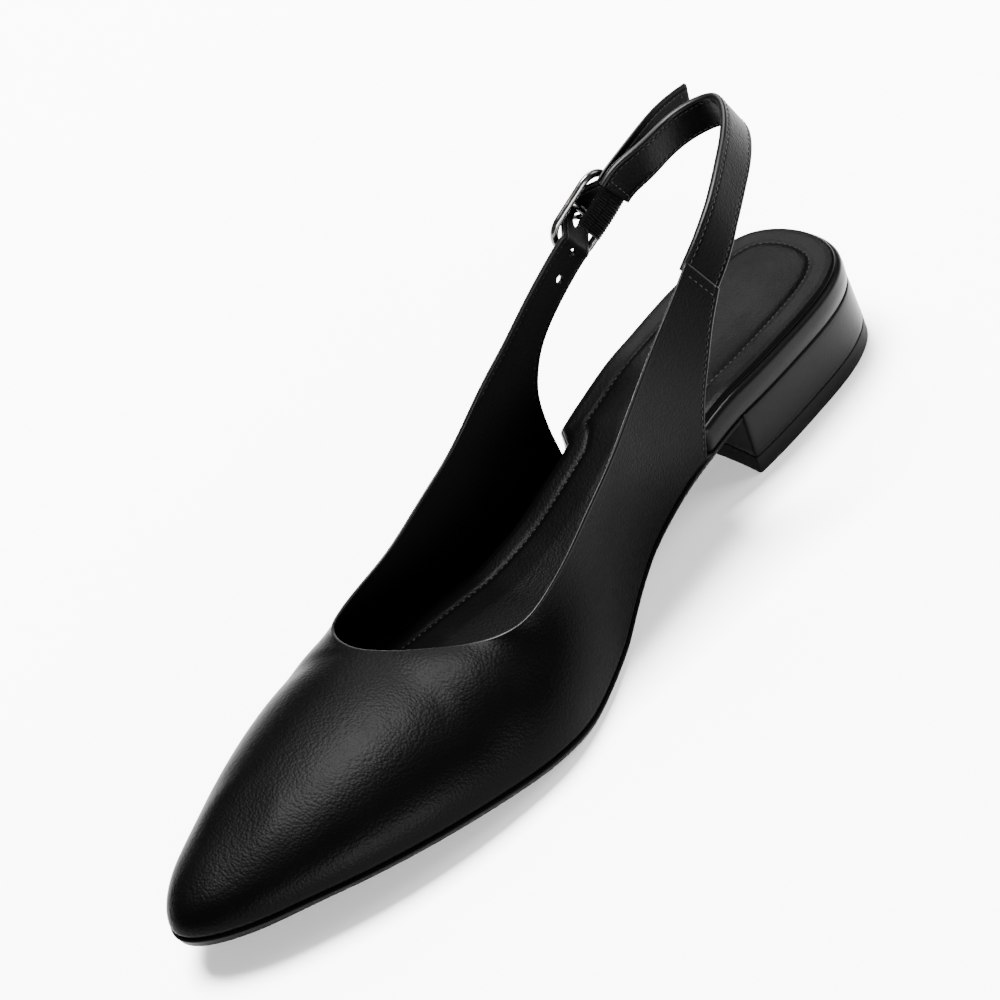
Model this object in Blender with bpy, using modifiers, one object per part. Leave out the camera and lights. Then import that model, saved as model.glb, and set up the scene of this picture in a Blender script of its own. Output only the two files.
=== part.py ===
"""Womens sling back flat, right shoe, size 38.

Pointed toe, low block heel, deep throat, and a sling strap that closes with
a buckle on the outer side. Metres, +Z up, +X to the toe, +Y to the inner side
of the foot. The origin is on the floor, at the middle of the heel.
"""
import bmesh
import bpy
import numpy as np
from mathutils import Vector

MM = 0.001

# Lengths and widths of the last
SOLE_LENGTH = 262 * MM
BALL_WIDTH = 76.5 * MM
WAIST_WIDTH = 43.7 * MM
HEEL_WIDTH = 47 * MM
HEEL_CENTRE = 32 * MM

# Heights over the floor
SEAT_HEIGHT = 19.6 * MM
TOE_SPRING = 10.2 * MM
INSTEP_HEIGHT = 33.4 * MM
STRAP_HEIGHT = 77.7 * MM

# Bottom parts
OUTSOLE_THICKNESS = 3 * MM
OUTSOLE_WELT = 0.2 * MM
OUTSOLE_BEVEL = 1.2 * MM
TOE_BEVEL = 0.4 * MM
TOE_BEVEL_LENGTH = 30 * MM
TOP_PIECE_HEIGHT = 5.4 * MM
HEEL_LENGTH = 63 * MM
HEEL_FLARE = 0.5 * MM
BREAST_HOLLOW = 2 * MM
BREAST_RAKE = 1.6 * MM
BOARD_HEEL = 7.6 * MM
BOARD_FORE = 3.6 * MM
BOARD_TAPER = 2.0 * MM
SOCK_THICKNESS = 0.9 * MM
SOCK_INSET = 1.4 * MM
NOTCH_LENGTH = 3 * MM

# Upper and straps
WALL = 1.5 * MM
STRAP_WIDTH = 13 * MM
STRAP_THICKNESS = 2 * MM
SEAM_BLEND = 18 * MM
ELASTIC_THICKNESS = 1.6 * MM
ELASTIC_LENGTH = 9 * MM
ELASTIC_WIDTH = 11 * MM
ELASTIC_LIFT = 1 * MM
HOLE_DIAMETER = 2.4 * MM
HOLE_PITCH = 8 * MM
HOLE_SAG = 0.25 * MM
PRONG_HOLE = 4.2 * MM

# How fully the ribs of the upper bulge, and their points
RIB_FULLNESS = 0.6
RIB_POINTS = 10

# Share of the ridge after which its ribs come to rest at the nose
RIDGE_EASE = 0.75

# Buckle
BUCKLE_LENGTH = 24.5 * MM
BUCKLE_WIDTH = 18.5 * MM
BUCKLE_WIRE = 2.2 * MM
BUCKLE_CORNER = 5.5 * MM
BAR_WIRE = 1.8 * MM
BAR_DROP = 1.2 * MM
PRONG_WIRE = 1.4 * MM

# Rounding of the edges
SOLE_EDGE = 0.7 * MM
BLOCK_EDGE = 0.5 * MM
TOP_PIECE_EDGE = 0.4 * MM
BOARD_EDGE = 1.2 * MM
SOCK_EDGE = 0.4 * MM
SLING_EDGE = 0.5 * MM

# Clearance between pieces that touch
FIT = 0.3 * MM

# Outline of the sole
# share of the length, width that the row follows, inner and outer half width
SOLE_ROWS = (
    (0.020, HEEL_WIDTH, 0.323, 0.330),
    (0.070, HEEL_WIDTH, 0.468, 0.462),
    (0.140, HEEL_WIDTH, 0.498, 0.504),
    (0.220, HEEL_WIDTH, 0.489, 0.482),
    (0.320, WAIST_WIDTH, 0.474, 0.526),
    (0.420, WAIST_WIDTH, 0.510, 0.584),
    (0.520, BALL_WIDTH, 0.423, 0.421),
    (0.620, BALL_WIDTH, 0.524, 0.484),
    (0.700, BALL_WIDTH, 0.502, 0.490),
    (0.780, BALL_WIDTH, 0.427, 0.458),
    (0.860, BALL_WIDTH, 0.311, 0.385),
    (0.920, BALL_WIDTH, 0.195, 0.312),
    (0.965, BALL_WIDTH, 0.088, 0.246),
)
TIP_SHIFT = -0.095

# Line where the upper meets the outsole
# share of the length, share of the seat height, share of the toe spring
PROFILE_ROWS = (
    (0.000, 1.000, 0.000),
    (0.115, 1.020, 0.000),
    (0.230, 1.028, 0.000),
    (0.305, 0.845, 0.000),
    (0.382, 0.500, 0.000),
    (0.458, 0.140, 0.000),
    (0.510, 0.000, 0.000),
    (0.580, 0.000, 0.000),
    (0.650, 0.000, 0.210),
    (0.763, 0.000, 0.605),
    (0.840, 0.000, 0.807),
    (0.916, 0.000, 0.950),
    (1.000, 0.000, 1.000),
)

# Ridge of the vamp, from the throat to the toe, and the feet of its ribs
# length, side in ball widths, share of the instep height, inner foot, outer foot
RIDGE_ROWS = (
    (0.681, -0.065, 0.994, 0.706, 0.740),
    (0.725, -0.072, 1.000, 0.760, 0.779),
    (0.771, -0.078, 0.976, 0.809, 0.821),
    (0.813, -0.081, 0.934, 0.859, 0.866),
    (0.851, -0.084, 0.880, 0.905, 0.908),
    (0.878, -0.085, 0.835, 0.947, 0.948),
    (0.893, -0.086, 0.808, 0.976, 0.977),
    (0.898, -0.086, 0.799, 0.993, 0.993),
    (0.901, -0.086, 0.793, 1.000, 1.000),
)

# Ribs of the wings, from the sling down to the sole
# back edge: length, side, climb; top edge: length, side, climb
INNER_WING_ROWS = (
    (0.218, 0.324, 0.582, 0.234, 0.277, 0.849),
    (0.244, 0.328, 0.420, 0.272, 0.290, 0.742),
    (0.264, 0.325, 0.240, 0.310, 0.301, 0.640),
    (0.282, 0.306, 0.010, 0.345, 0.314, 0.540),
)
OUTER_WING_ROWS = (
    (0.262, -0.350, 0.384, 0.290, -0.360, 0.606),
    (0.301, -0.347, 0.257, 0.338, -0.374, 0.455),
    (0.324, -0.334, 0.131, 0.380, -0.386, 0.333),
    (0.338, -0.322, -0.052, 0.419, -0.395, 0.207),
)

# Ribs that stand on the sole and end on the collar
# foot: length; top edge: length, side, climb; rise; crown
INNER_RIB_ROWS = (
    (0.300, 0.385, 0.327, 0.420, 0.10, 0.00),
    (0.351, 0.428, 0.342, 0.305, 0.25, 0.00),
    (0.408, 0.473, 0.352, 0.200, 0.45, 0.05),
    (0.466, 0.515, 0.361, 0.104, 0.65, 0.15),
    (0.519, 0.557, 0.356, 0.018, 0.80, 0.30),
    (0.569, 0.595, 0.327, -0.032, 0.90, 0.50),
    (0.615, 0.628, 0.235, -0.036, 1.00, 0.75),
    (0.660, 0.656, 0.105, -0.011, 1.00, 0.95),
)
OUTER_RIB_ROWS = (
    (0.344, 0.457, -0.402, 0.100, 0.10, 0.00),
    (0.393, 0.497, -0.406, 0.026, 0.25, 0.00),
    (0.450, 0.538, -0.412, -0.054, 0.45, 0.05),
    (0.504, 0.573, -0.413, -0.098, 0.65, 0.10),
    (0.557, 0.611, -0.406, -0.108, 0.80, 0.20),
    (0.607, 0.643, -0.379, -0.088, 0.85, 0.30),
    (0.656, 0.672, -0.320, -0.054, 0.95, 0.50),
    (0.702, 0.685, -0.205, -0.018, 1.00, 0.78),
)

# Middle line of the sling, from behind the elastic round to the inner wing
# length, side in heel widths, share of the strap height, lean inwards in degrees
SLING_ROWS = (
    (0.119, -0.358, 0.945, 10.0),
    (0.070, -0.310, 0.963, 14.0),
    (0.039, -0.066, 1.000, 19.0),
    (0.073, 0.189, 1.000, 17.0),
    (0.122, 0.340, 0.974, 14.0),
    (0.175, 0.447, 0.918, 12.0),
)

# Middle line of the punched end behind the buckle, in the same columns
TIP_ROWS = (
    (0.031, -0.415, 0.950, 4.0),
    (0.070, -0.432, 0.962, 6.0),
    (0.112, -0.438, 0.950, 8.0),
)

# Middle of the buckle: length, side in heel widths, share of the strap height
BUCKLE_PLACE = (0.188, -0.538, 0.856)
BUCKLE_RUN = Vector((-0.88, 0.20, 0.44)).normalized()
BUCKLE_LEAN = 8.0

# Way of the punched strap through the buckle
# distance behind the middle bar in reaches, share of the lift over that bar
STRAP_WEAVE = ((1.0, 0.0), (0.75, 0.04), (0.35, 0.8), (0.0, 1.0), (-0.35, 0.8), (-0.75, 0.04),
               (-1.0, 0.0))


def spline(points, knots=None, closed=False):
    """Return a function that walks a smooth curve through points, 0 to 1.

    Columns after the third are carried along and don't set the pace.
    """
    pts = np.asarray(points, float)
    if closed:
        pts = np.vstack([pts, pts[:1]])
    if knots is None:
        step = np.linalg.norm(np.diff(pts[:, :3], axis=0), axis=1)
        knots = np.concatenate([[0.0], np.cumsum(np.sqrt(step))])
    knots = np.asarray(knots, float)
    gap = np.diff(knots)
    slope = np.diff(pts, axis=0) / gap[:, None]
    n = len(pts)
    a = np.zeros((n, n))
    b = np.zeros_like(pts)
    for i in range(1, n - 1):
        a[i, i - 1] = gap[i]
        a[i, i] = 2 * (gap[i - 1] + gap[i])
        a[i, i + 1] = gap[i - 1]
        b[i] = 3 * (gap[i] * slope[i - 1] + gap[i - 1] * slope[i])
    if closed:
        a[0, 0] = 2 * (gap[0] + gap[-1])
        a[0, 1] = gap[-1]
        a[0, n - 2] = gap[0]
        b[0] = 3 * (gap[0] * slope[-1] + gap[-1] * slope[0])
        a[n - 1, n - 1] = 1
        a[n - 1, 0] = -1
    else:
        a[0, 0] = 2
        a[0, 1] = 1
        b[0] = 3 * slope[0]
        a[n - 1, n - 1] = 2
        a[n - 1, n - 2] = 1
        b[n - 1] = 3 * slope[-1]
    tangent = np.linalg.solve(a, b)

    def at(u):
        t = np.atleast_1d(np.asarray(u, float)) * knots[-1]
        i = np.clip(np.searchsorted(knots, t) - 1, 0, n - 2)
        h = gap[i][:, None]
        s = (t - knots[i])[:, None] / h
        p = (2 * s**3 - 3 * s**2 + 1) * pts[i] + (s**3 - 2 * s**2 + s) * h * tangent[i]
        return p + (3 * s**2 - 2 * s**3) * pts[i + 1] + (s**3 - s**2) * h * tangent[i + 1]
    return at


def monotone(xs, ys, x):
    """Smooth interpolation that never overshoots its rows."""
    xs, ys, x = (np.asarray(v, float) for v in (xs, ys, x))
    gap = np.diff(xs)
    slope = np.diff(ys) / gap
    tangent = np.concatenate([[slope[0]], np.zeros(len(xs) - 2), [slope[-1]]])
    for i in range(1, len(xs) - 1):
        if slope[i - 1] * slope[i] > 0:
            w1 = 2 * gap[i] + gap[i - 1]
            w2 = gap[i] + 2 * gap[i - 1]
            tangent[i] = (w1 + w2) / (w1 / slope[i - 1] + w2 / slope[i])
    i = np.clip(np.searchsorted(xs, x) - 1, 0, len(xs) - 2)
    s = (x - xs[i]) / gap[i]
    p = (2 * s**3 - 3 * s**2 + 1) * ys[i] + (s**3 - 2 * s**2 + s) * gap[i] * tangent[i]
    return p + (3 * s**2 - 2 * s**3) * ys[i + 1] + (s**3 - s**2) * gap[i] * tangent[i + 1]


def feather(x):
    """Height of the line where the upper meets the outsole."""
    rows = np.array(PROFILE_ROWS)
    rise = SEAT_HEIGHT - OUTSOLE_THICKNESS
    z = OUTSOLE_THICKNESS + rows[:, 1] * rise + rows[:, 2] * TOE_SPRING
    return monotone(rows[:, 0] * SOLE_LENGTH, z, x)


def height(climb):
    """Height of a point of the wings: 0 at the throat, 1 at the sling."""
    return INSTEP_HEIGHT + climb * (STRAP_HEIGHT - INSTEP_HEIGHT)


def outline_curve():
    """Plan outline of the last's bottom as a dense closed polyline."""
    inner = [(at * SOLE_LENGTH, side * width) for at, width, side, _ in SOLE_ROWS]
    outer = [(at * SOLE_LENGTH, -side * width) for at, width, _, side in SOLE_ROWS]
    tip = [(SOLE_LENGTH, TIP_SHIFT * BALL_WIDTH)]
    walk = spline([(0.0, 0.0)] + inner + tip + outer[::-1], closed=True)
    return walk(np.linspace(0, 1, 2001))


OUTLINE = outline_curve()


def inset_outline(inset):
    """The outline moved inwards, by one amount or by one for each x and y."""
    tangent = np.gradient(OUTLINE, axis=0)
    tangent /= np.linalg.norm(tangent, axis=1)[:, None]
    inward = np.stack([tangent[:, 1], -tangent[:, 0]], axis=1)
    amount = inset(*OUTLINE.T) if callable(inset) else inset * np.ones(len(OUTLINE))
    return OUTLINE + inward * amount[:, None]


def split_sides(curve):
    """The inner and the outer side of a closed plan curve, heel to toe."""
    ring = curve[:-1]
    ring = np.roll(ring, -int(np.argmin(ring[:, 0])), axis=0)
    toe = int(np.argmax(ring[:, 0]))
    inner = ring[:toe + 1]
    outer = np.vstack([ring[:1], ring[toe:][::-1]])
    return inner, outer


def width_at(side, x):
    """Side value of one side of a plan curve at each length x."""
    return np.interp(x, side[:, 0], side[:, 1])


def new_object(name, verts, faces):
    """Closed or open mesh from points, welded, with its faces turned outwards."""
    mesh = bpy.data.meshes.new(name)
    mesh.from_pydata([tuple(v) for v in verts], [], faces)
    bm = bmesh.new()
    bm.from_mesh(mesh)
    bmesh.ops.remove_doubles(bm, verts=bm.verts, dist=0.02 * MM)
    bmesh.ops.recalc_face_normals(bm, faces=bm.faces)
    bm.to_mesh(mesh)
    bm.free()
    mesh.update()
    obj = bpy.data.objects.new(name, mesh)
    PARTS.objects.link(obj)
    obj.parent = FRAME
    return obj


def finish(obj, color, roughness, metallic=0.0, edge=0.0, steps=2, crease=40):
    """Round the edges, shade the piece and give it its material."""
    if edge:
        bevel = obj.modifiers.new("rounded_edges", "BEVEL")
        bevel.width = edge
        bevel.segments = steps
        bevel.limit_method = "ANGLE"
        bevel.angle_limit = np.radians(50)
    obj.data.shade_smooth()
    obj.data.set_sharp_from_angle(angle=np.radians(crease))
    mat = bpy.data.materials.new(obj.name)
    mat.use_nodes = True
    shader = mat.node_tree.nodes["Principled BSDF"]
    shader.inputs["Base Color"].default_value = (*color, 1.0)
    shader.inputs["Roughness"].default_value = roughness
    shader.inputs["Metallic"].default_value = metallic
    obj.data.materials.append(mat)
    return obj


def plate(name, floor, roof, back=None, front=None, count=52, across=2):
    """Closed plate between two plan curves.

    floor and roof are a plan curve and a height along the length. back and
    front give the length where the plate is cut across, for a share of the
    width and a height; a plate with none runs to the end of its curve.
    """
    verts = []
    share = 0.5 - 0.5 * np.cos(np.linspace(0, np.pi, count))
    for curve, level in (floor, roof):
        inner, outer = split_sides(curve)
        low = inner[0, 0]
        high = inner[-1, 0]
        for k in range(across):
            s = k / (across - 1)
            first = back(s, level) if back else low
            last = front(s, level) if front else high
            x = first + (last - first) * share
            y = width_at(inner, x) * (1 - s) + width_at(outer, x) * s
            verts.append(np.stack([x, y, level(x)], axis=1))
    verts = np.concatenate(verts)
    row = np.arange(across * 2 * count).reshape(2, across, count)
    faces = []
    for i in range(count - 1):
        for k in range(across - 1):
            low = row[0, k:k + 2, i:i + 2]
            high = row[1, k:k + 2, i:i + 2]
            faces.append((low[0, 0], low[0, 1], low[1, 1], low[1, 0]))
            faces.append((high[0, 0], high[1, 0], high[1, 1], high[0, 1]))
        for k in (0, across - 1):
            faces.append((row[0, k, i], row[0, k, i + 1], row[1, k, i + 1], row[1, k, i]))
    for i in (0, count - 1):
        for k in range(across - 1):
            faces.append((row[0, k, i], row[0, k + 1, i], row[1, k + 1, i], row[1, k, i]))
    return new_object(name, verts, clean_faces(verts, faces))


def clean_faces(verts, faces):
    """Drop faces with no area, such as those at a pointed end."""
    kept = []
    for face in faces:
        a, b, c, d = (verts[i] for i in face)
        area = np.linalg.norm(np.cross(c - a, d - b))
        if area > 0.001 * MM * MM:
            kept.append([int(i) for i in face])
    return kept


def breast(share, z):
    """Length of the heel's front face, hollow across and raked forwards."""
    hollow = BREAST_HOLLOW * (1 - (2 * share - 1) ** 2)
    return HEEL_LENGTH - hollow + BREAST_RAKE * (1 - z / SEAT_HEIGHT)


def sole_bevel(x, y):
    """How far the tread lies inside the outline: little at the toe."""
    toe = np.clip((x - SOLE_LENGTH) / TOE_BEVEL_LENGTH + 1, 0, 1)
    return OUTSOLE_BEVEL + (TOE_BEVEL - OUTSOLE_BEVEL) * toe


def build_outsole():
    """Thin rubber sole from the toe back to the heel's front face."""
    rim = inset_outline(-OUTSOLE_WELT)
    tread = inset_outline(sole_bevel)

    def back(share, level):
        return breast(share, SEAT_HEIGHT - OUTSOLE_THICKNESS) + FIT
    obj = plate("outsole", (tread, lambda x: feather(x) - OUTSOLE_THICKNESS),
                (rim, lambda x: feather(x) - FIT), back=back, across=5, count=46)
    return finish(obj, (0.012, 0.012, 0.012), 0.6, edge=SOLE_EDGE, steps=1)


def build_heel():
    """Leather covered block and the rubber piece under it."""
    foot = inset_outline(-HEEL_FLARE)
    joint = TOP_PIECE_HEIGHT + FIT

    def front(share, level):
        return breast(share, float(level(np.array([HEEL_LENGTH]))[0]))

    def flat(z):
        return lambda x: np.full(np.shape(x), z)
    block = plate("heel_block", (foot, flat(joint)), (OUTLINE, lambda x: feather(x) - FIT),
                  front=front, count=18, across=5)
    finish(block, (0.014, 0.014, 0.015), 0.42, edge=BLOCK_EDGE, steps=1)
    piece = plate("top_piece", (foot, flat(0.0)), (foot, flat(TOP_PIECE_HEIGHT)),
                  front=front, count=18, across=5)
    finish(piece, (0.01, 0.01, 0.01), 0.55, edge=TOP_PIECE_EDGE, steps=1)


def covered(x, y):
    """0 on the open board behind the wings, 1 where the upper wraps it."""
    foot = np.where(y > 0, INNER_RIB_ROWS[0][0], OUTER_RIB_ROWS[0][0]) * SOLE_LENGTH
    return np.clip((x - foot) / NOTCH_LENGTH + 1, 0, 1)


def board_height(x):
    """Thickness of the board: thick under the heel, thin under the toes."""
    share = np.clip((x - HEEL_LENGTH) / (0.3 * SOLE_LENGTH), 0, 1)
    return BOARD_HEEL + (BOARD_FORE - BOARD_HEEL) * share * share * (3 - 2 * share)


def build_board():
    """Leather wrapped insole board and the padded sock on top of it."""
    def low_inset(x, y):
        return covered(x, y) * (WALL + 4 * FIT)

    def high_inset(x, y):
        return covered(x, y) * (WALL + 4 * FIT + BOARD_TAPER)

    def sock_inset(x, y):
        return high_inset(x, y) + SOCK_INSET

    def roof(x):
        return feather(x) + board_height(x)
    board = plate("insole_board", (inset_outline(low_inset), feather),
                  (inset_outline(high_inset), roof), count=52)
    finish(board, (0.014, 0.014, 0.015), 0.42, edge=BOARD_EDGE)
    edge = inset_outline(sock_inset)
    sock = plate("insole_sock", (edge, lambda x: roof(x) + FIT),
                 (edge, lambda x: roof(x) + FIT + SOCK_THICKNESS), count=44)
    finish(sock, (0.016, 0.016, 0.017), 0.5, edge=SOCK_EDGE, steps=1)


def lean_frame(points, lean):
    """Run, width direction and outward normal of a strap that runs backwards
    along the outer side of the foot."""
    run = np.gradient(points, axis=0)
    run /= np.linalg.norm(run, axis=1)[:, None]
    inward = np.cross(run, (0.0, 0.0, 1.0))
    inward /= np.linalg.norm(inward, axis=1)[:, None]
    up = np.cross(inward, run)
    angle = np.radians(lean)[:, None]
    width = up * np.cos(angle) + inward * np.sin(angle)
    return run, width, np.cross(width, run)


def strap_points(rows):
    """Points and leans of a strap table."""
    rows = np.array(rows)
    size = np.array([SOLE_LENGTH, HEEL_WIDTH, STRAP_HEIGHT])
    return rows[:, :3] * size, rows[:, 3]


def buckle_frame_axes():
    """Middle of the buckle and its three directions: back, up and outward."""
    middle = np.array(BUCKLE_PLACE) * (SOLE_LENGTH, HEEL_WIDTH, STRAP_HEIGHT)
    run = np.array(BUCKLE_RUN)
    pair = np.stack([middle, middle + run])
    _, width, normal = lean_frame(pair, np.full(2, BUCKLE_LEAN))
    return middle, run, width[0], normal[0]


def at_buckle(back, out, up=0.0):
    """Point given by its distances from the middle of the buckle."""
    middle, run, width, normal = buckle_frame_axes()
    return middle + run * back + normal * out + width * up


BAR_REACH = (BUCKLE_LENGTH - BUCKLE_WIRE) / 2
UNDER_BAR = -(BUCKLE_WIRE / 2 + 2 * FIT)
OVER_BAR = BAR_WIRE / 2 - BAR_DROP + PRONG_WIRE + 2 * FIT + WALL
PRONG_AT = -(BAR_WIRE / 2 + FIT + PRONG_WIRE)


def strap_rows():
    """Lower and upper edge of the punched strap from its tip to the buckle."""
    points, lean = strap_points(TIP_ROWS)
    weave = np.array([at_buckle(back * BAR_REACH, UNDER_BAR + lift * (OVER_BAR - UNDER_BAR))
                      for back, lift in STRAP_WEAVE])
    _, width, _ = lean_frame(np.vstack([points, weave[:1]])[::-1], np.append(lean, 0)[::-1])
    middle = np.vstack([points, weave])
    across = np.vstack([width[::-1][:-1], [buckle_frame_axes()[2]] * len(weave)])
    return middle - across * STRAP_WIDTH / 2, middle + across * STRAP_WIDTH / 2


def scaled(row):
    """A point of the collar or of a wing's back edge from its row."""
    return np.array([row[0] * SOLE_LENGTH, row[1] * BALL_WIDTH, height(row[2])])


def ridge_points():
    """Points of the vamp's ridge, from the throat to the nose."""
    return np.array(RIDGE_ROWS)[:, :3] * (SOLE_LENGTH, BALL_WIDTH, INSTEP_HEIGHT)


def ridge_fall(x):
    """Slope of the ridge at a length."""
    line = spline(ridge_points(), knots=range(len(RIDGE_ROWS)))(np.linspace(0, 1, 101))
    return float(np.interp(x, line[:, 0], np.gradient(line[:, 2], line[:, 0])))


def upper_half(side, wing_rows, rib_rows, foot_column, strap, collar, ridge, per_row):
    """Ribs of one side of the upper, each a run of points from foot to top.

    On the ridge a rib comes in along the ridge's slope, so both sides meet
    without a crease.
    """
    low = [*strap, *(scaled(row[:3]) for row in wing_rows)]
    corner = len(low)
    foot_at = [row[0] for row in rib_rows] + [row[foot_column] for row in RIDGE_ROWS]
    step = np.hypot(*np.diff(side, axis=0).T)
    run = np.concatenate([[0.0], np.cumsum(step)])
    foot_run = np.interp(np.array(foot_at) * SOLE_LENGTH, side[:, 0], run)
    foot_run[-1] = run[-1]
    first = [np.interp(foot_run[0], run, side[:, 0]), np.interp(foot_run[0], run, side[:, 1])]
    low.append(np.array([*first, float(feather(np.array(first[0])))]))
    back_edge = spline(low, knots=range(len(low)))
    rise = [0.0] * corner + [row[-2] for row in rib_rows] + [1.0] * len(RIDGE_ROWS)
    crown = [0.0] * corner + [row[-1] for row in rib_rows] + [1.0] * len(RIDGE_ROWS)
    index = np.arange(len(rise))
    ribs = []
    share = np.linspace(0, 1, RIB_POINTS)[:, None]
    for u in np.linspace(0, index[-1], index[-1] * per_row + 1):
        if u <= corner:
            foot = back_edge(u / corner)[0]
        else:
            s = monotone(index[corner:], foot_run, u)
            x = np.interp(s, run, side[:, 0])
            foot = np.array([x, np.interp(s, run, side[:, 1]), float(feather(x))])
        turn = corner + len(rib_rows)
        top = collar(u) if u <= turn else ridge(u - turn)
        across = top - foot
        up = float(monotone(index, rise, u))
        over = float(monotone(index, crown, u))
        lift = np.array([0, 0, across[2]])
        level = across - lift
        level[2] = level[0] * ridge_fall(top[0]) * min(max(u - turn + 1, 0), 1)
        p1 = foot + across * (1 - up) / 3 + lift * up * RIB_FULLNESS
        p2 = top - across * (1 - over) / 3 - level * over * RIB_FULLNESS
        ribs.append((1 - share)**3 * foot + 3 * (1 - share)**2 * share * p1
                    + 3 * (1 - share) * share**2 * p2 + share**3 * top)
    return np.array(ribs)


def build_upper(per_row=3):
    """Vamp, wings and punched strap as one wall, open below and at the collar."""
    inner_side, outer_side = split_sides(OUTLINE)
    strap_low, strap_high = strap_rows()
    throat = ridge_points()
    inner_top = [scaled(row[3:]) for row in INNER_WING_ROWS]
    inner_top += [scaled(row[1:4]) for row in INNER_RIB_ROWS]
    outer_top = [*strap_high, *(scaled(row[3:]) for row in OUTER_WING_ROWS)]
    outer_top += [scaled(row[1:4]) for row in OUTER_RIB_ROWS]
    line = [*inner_top, throat[0], *outer_top[::-1]]
    collar = spline(line, knots=range(len(line)))
    ridge_curve = spline(throat, knots=range(len(throat)))
    last = len(line) - 1
    reach = len(throat) - 1

    def ridge(u):
        share = min(u / reach, 1.0)
        rest = max(0.0, (share - RIDGE_EASE) / (1 - RIDGE_EASE))
        return ridge_curve(share + (1 - RIDGE_EASE) * rest**2 * (1 - rest))[0]
    inner = upper_half(inner_side, INNER_WING_ROWS, INNER_RIB_ROWS, 3, [],
                       lambda u: collar(u / last)[0], ridge, per_row)
    outer = upper_half(outer_side, OUTER_WING_ROWS, OUTER_RIB_ROWS, 4, strap_low,
                       lambda u: collar(1 - u / last)[0], ridge, per_row)
    verts = np.concatenate([inner.reshape(-1, 3), outer.reshape(-1, 3)])
    faces = []
    start = 0
    for half in (inner, outer):
        grid = start + np.arange(half.shape[0] * half.shape[1]).reshape(half.shape[:2])
        for a, b in zip(grid[:-1], grid[1:]):
            for k in range(half.shape[1] - 1):
                faces.append((a[k], b[k], b[k + 1], a[k + 1]))
        start += grid.size
    obj = new_object("upper", verts, clean_faces(verts, faces))
    crown = max(obj.data.polygons, key=lambda face: face.normal.z ** 2 * face.area)
    if crown.normal.z < 0:
        obj.data.flip_normals()
    wall = obj.modifiers.new("wall", "SOLIDIFY")
    wall.thickness = WALL
    wall.offset = -1
    wall.use_even_offset = True
    punch_holes(obj)
    return finish(obj, (0.014, 0.014, 0.015), 0.4, crease=60)


def punch_holes(obj):
    """Round holes along the punched strap, one of them under the prong."""
    for number, shift in enumerate((-2, -1, 0, 1)):
        size = HOLE_DIAMETER if shift else PRONG_HOLE
        bpy.ops.mesh.primitive_cylinder_add(vertices=16, radius=size / 2, depth=STRAP_WIDTH)
        cutter = bpy.context.object
        cutter.name = f"hole_cutter_{number}"
        _, _, _, normal = buckle_frame_axes()
        cutter.rotation_euler = Vector(normal).to_track_quat("Z", "Y").to_euler()
        cutter.location = at_buckle(PRONG_AT + shift * HOLE_PITCH, 0.0, -HOLE_SAG * shift**2)
        cutter.parent = FRAME
        cutter.display_type = "WIRE"
        cutter.hide_render = True
        for group in cutter.users_collection:
            group.objects.unlink(cutter)
        CUTTERS.objects.link(cutter)
        cut = obj.modifiers.new(cutter.name, "BOOLEAN")
        cut.object = cutter
        cut.solver = "EXACT"


def ribbon(name, points, across, out, thickness):
    """Flat strap whose outer face has its middle on the points."""
    verts = []
    for p, w, n in zip(points, across / 2, out * thickness):
        verts += [p - w - n, p + w - n, p + w, p - w]
    faces = [(0, 1, 2, 3)]
    for i in range(len(points) - 1):
        for k in range(4):
            a = 4 * i + k
            b = 4 * i + (k + 1) % 4
            faces.append((a, b, b + 4, a + 4))
    last = 4 * (len(points) - 1)
    faces.append((last, last + 1, last + 2, last + 3))
    return new_object(name, verts, faces)


def build_sling():
    """Heel strap, and the gathered elastic that joins it to the buckle."""
    points, lean = strap_points(SLING_ROWS)
    under = UNDER_BAR - WALL - 3 * FIT
    lead = [at_buckle(shift * BAR_REACH, under, ELASTIC_LIFT) for shift in (-0.1, 0.5, 1.1)]
    seam_low = scaled(INNER_WING_ROWS[0][:3])
    seam_high = scaled(INNER_WING_ROWS[0][3:])
    points = np.vstack([lead, points, [(seam_low + seam_high) / 2]])
    lean = np.concatenate([np.full(len(lead), BUCKLE_LEAN), lean, lean[-1:]])
    walk = spline(np.column_stack([points, lean]))
    path = walk(np.linspace(0, 1, 241))
    run = np.concatenate([[0.0], np.cumsum(np.linalg.norm(np.diff(path[:, :3], axis=0), axis=1))])
    _, across, _ = lean_frame(path[:, :3], path[:, 3])
    to_seam = np.clip((run - run[-1]) / SEAM_BLEND + 1, 0, 1)[:, None]
    across = across * STRAP_WIDTH * (1 - to_seam) + (seam_high - seam_low) * to_seam
    out = np.cross(across, np.gradient(path[:, :3], axis=0))
    out /= np.linalg.norm(out, axis=1)[:, None]

    def stretch(first, last, count):
        at = np.linspace(first, last, count)
        columns = np.column_stack([path[:, :3], across, out])
        part = np.stack([np.interp(at, run, column) for column in columns.T], axis=1)
        return part[:, :3], part[:, 3:6], part[:, 6:]
    line, width, face = stretch(0, ELASTIC_LENGTH, 9)
    elastic = ribbon("elastic", line, width * ELASTIC_WIDTH / STRAP_WIDTH, face,
                     ELASTIC_THICKNESS)
    finish(elastic, (0.012, 0.012, 0.012), 0.7)
    sling = ribbon("sling_strap", *stretch(ELASTIC_LENGTH + FIT, run[-1] - 2 * FIT, 48),
                   STRAP_THICKNESS)
    finish(sling, (0.014, 0.014, 0.015), 0.4, edge=SLING_EDGE, steps=1)


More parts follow.
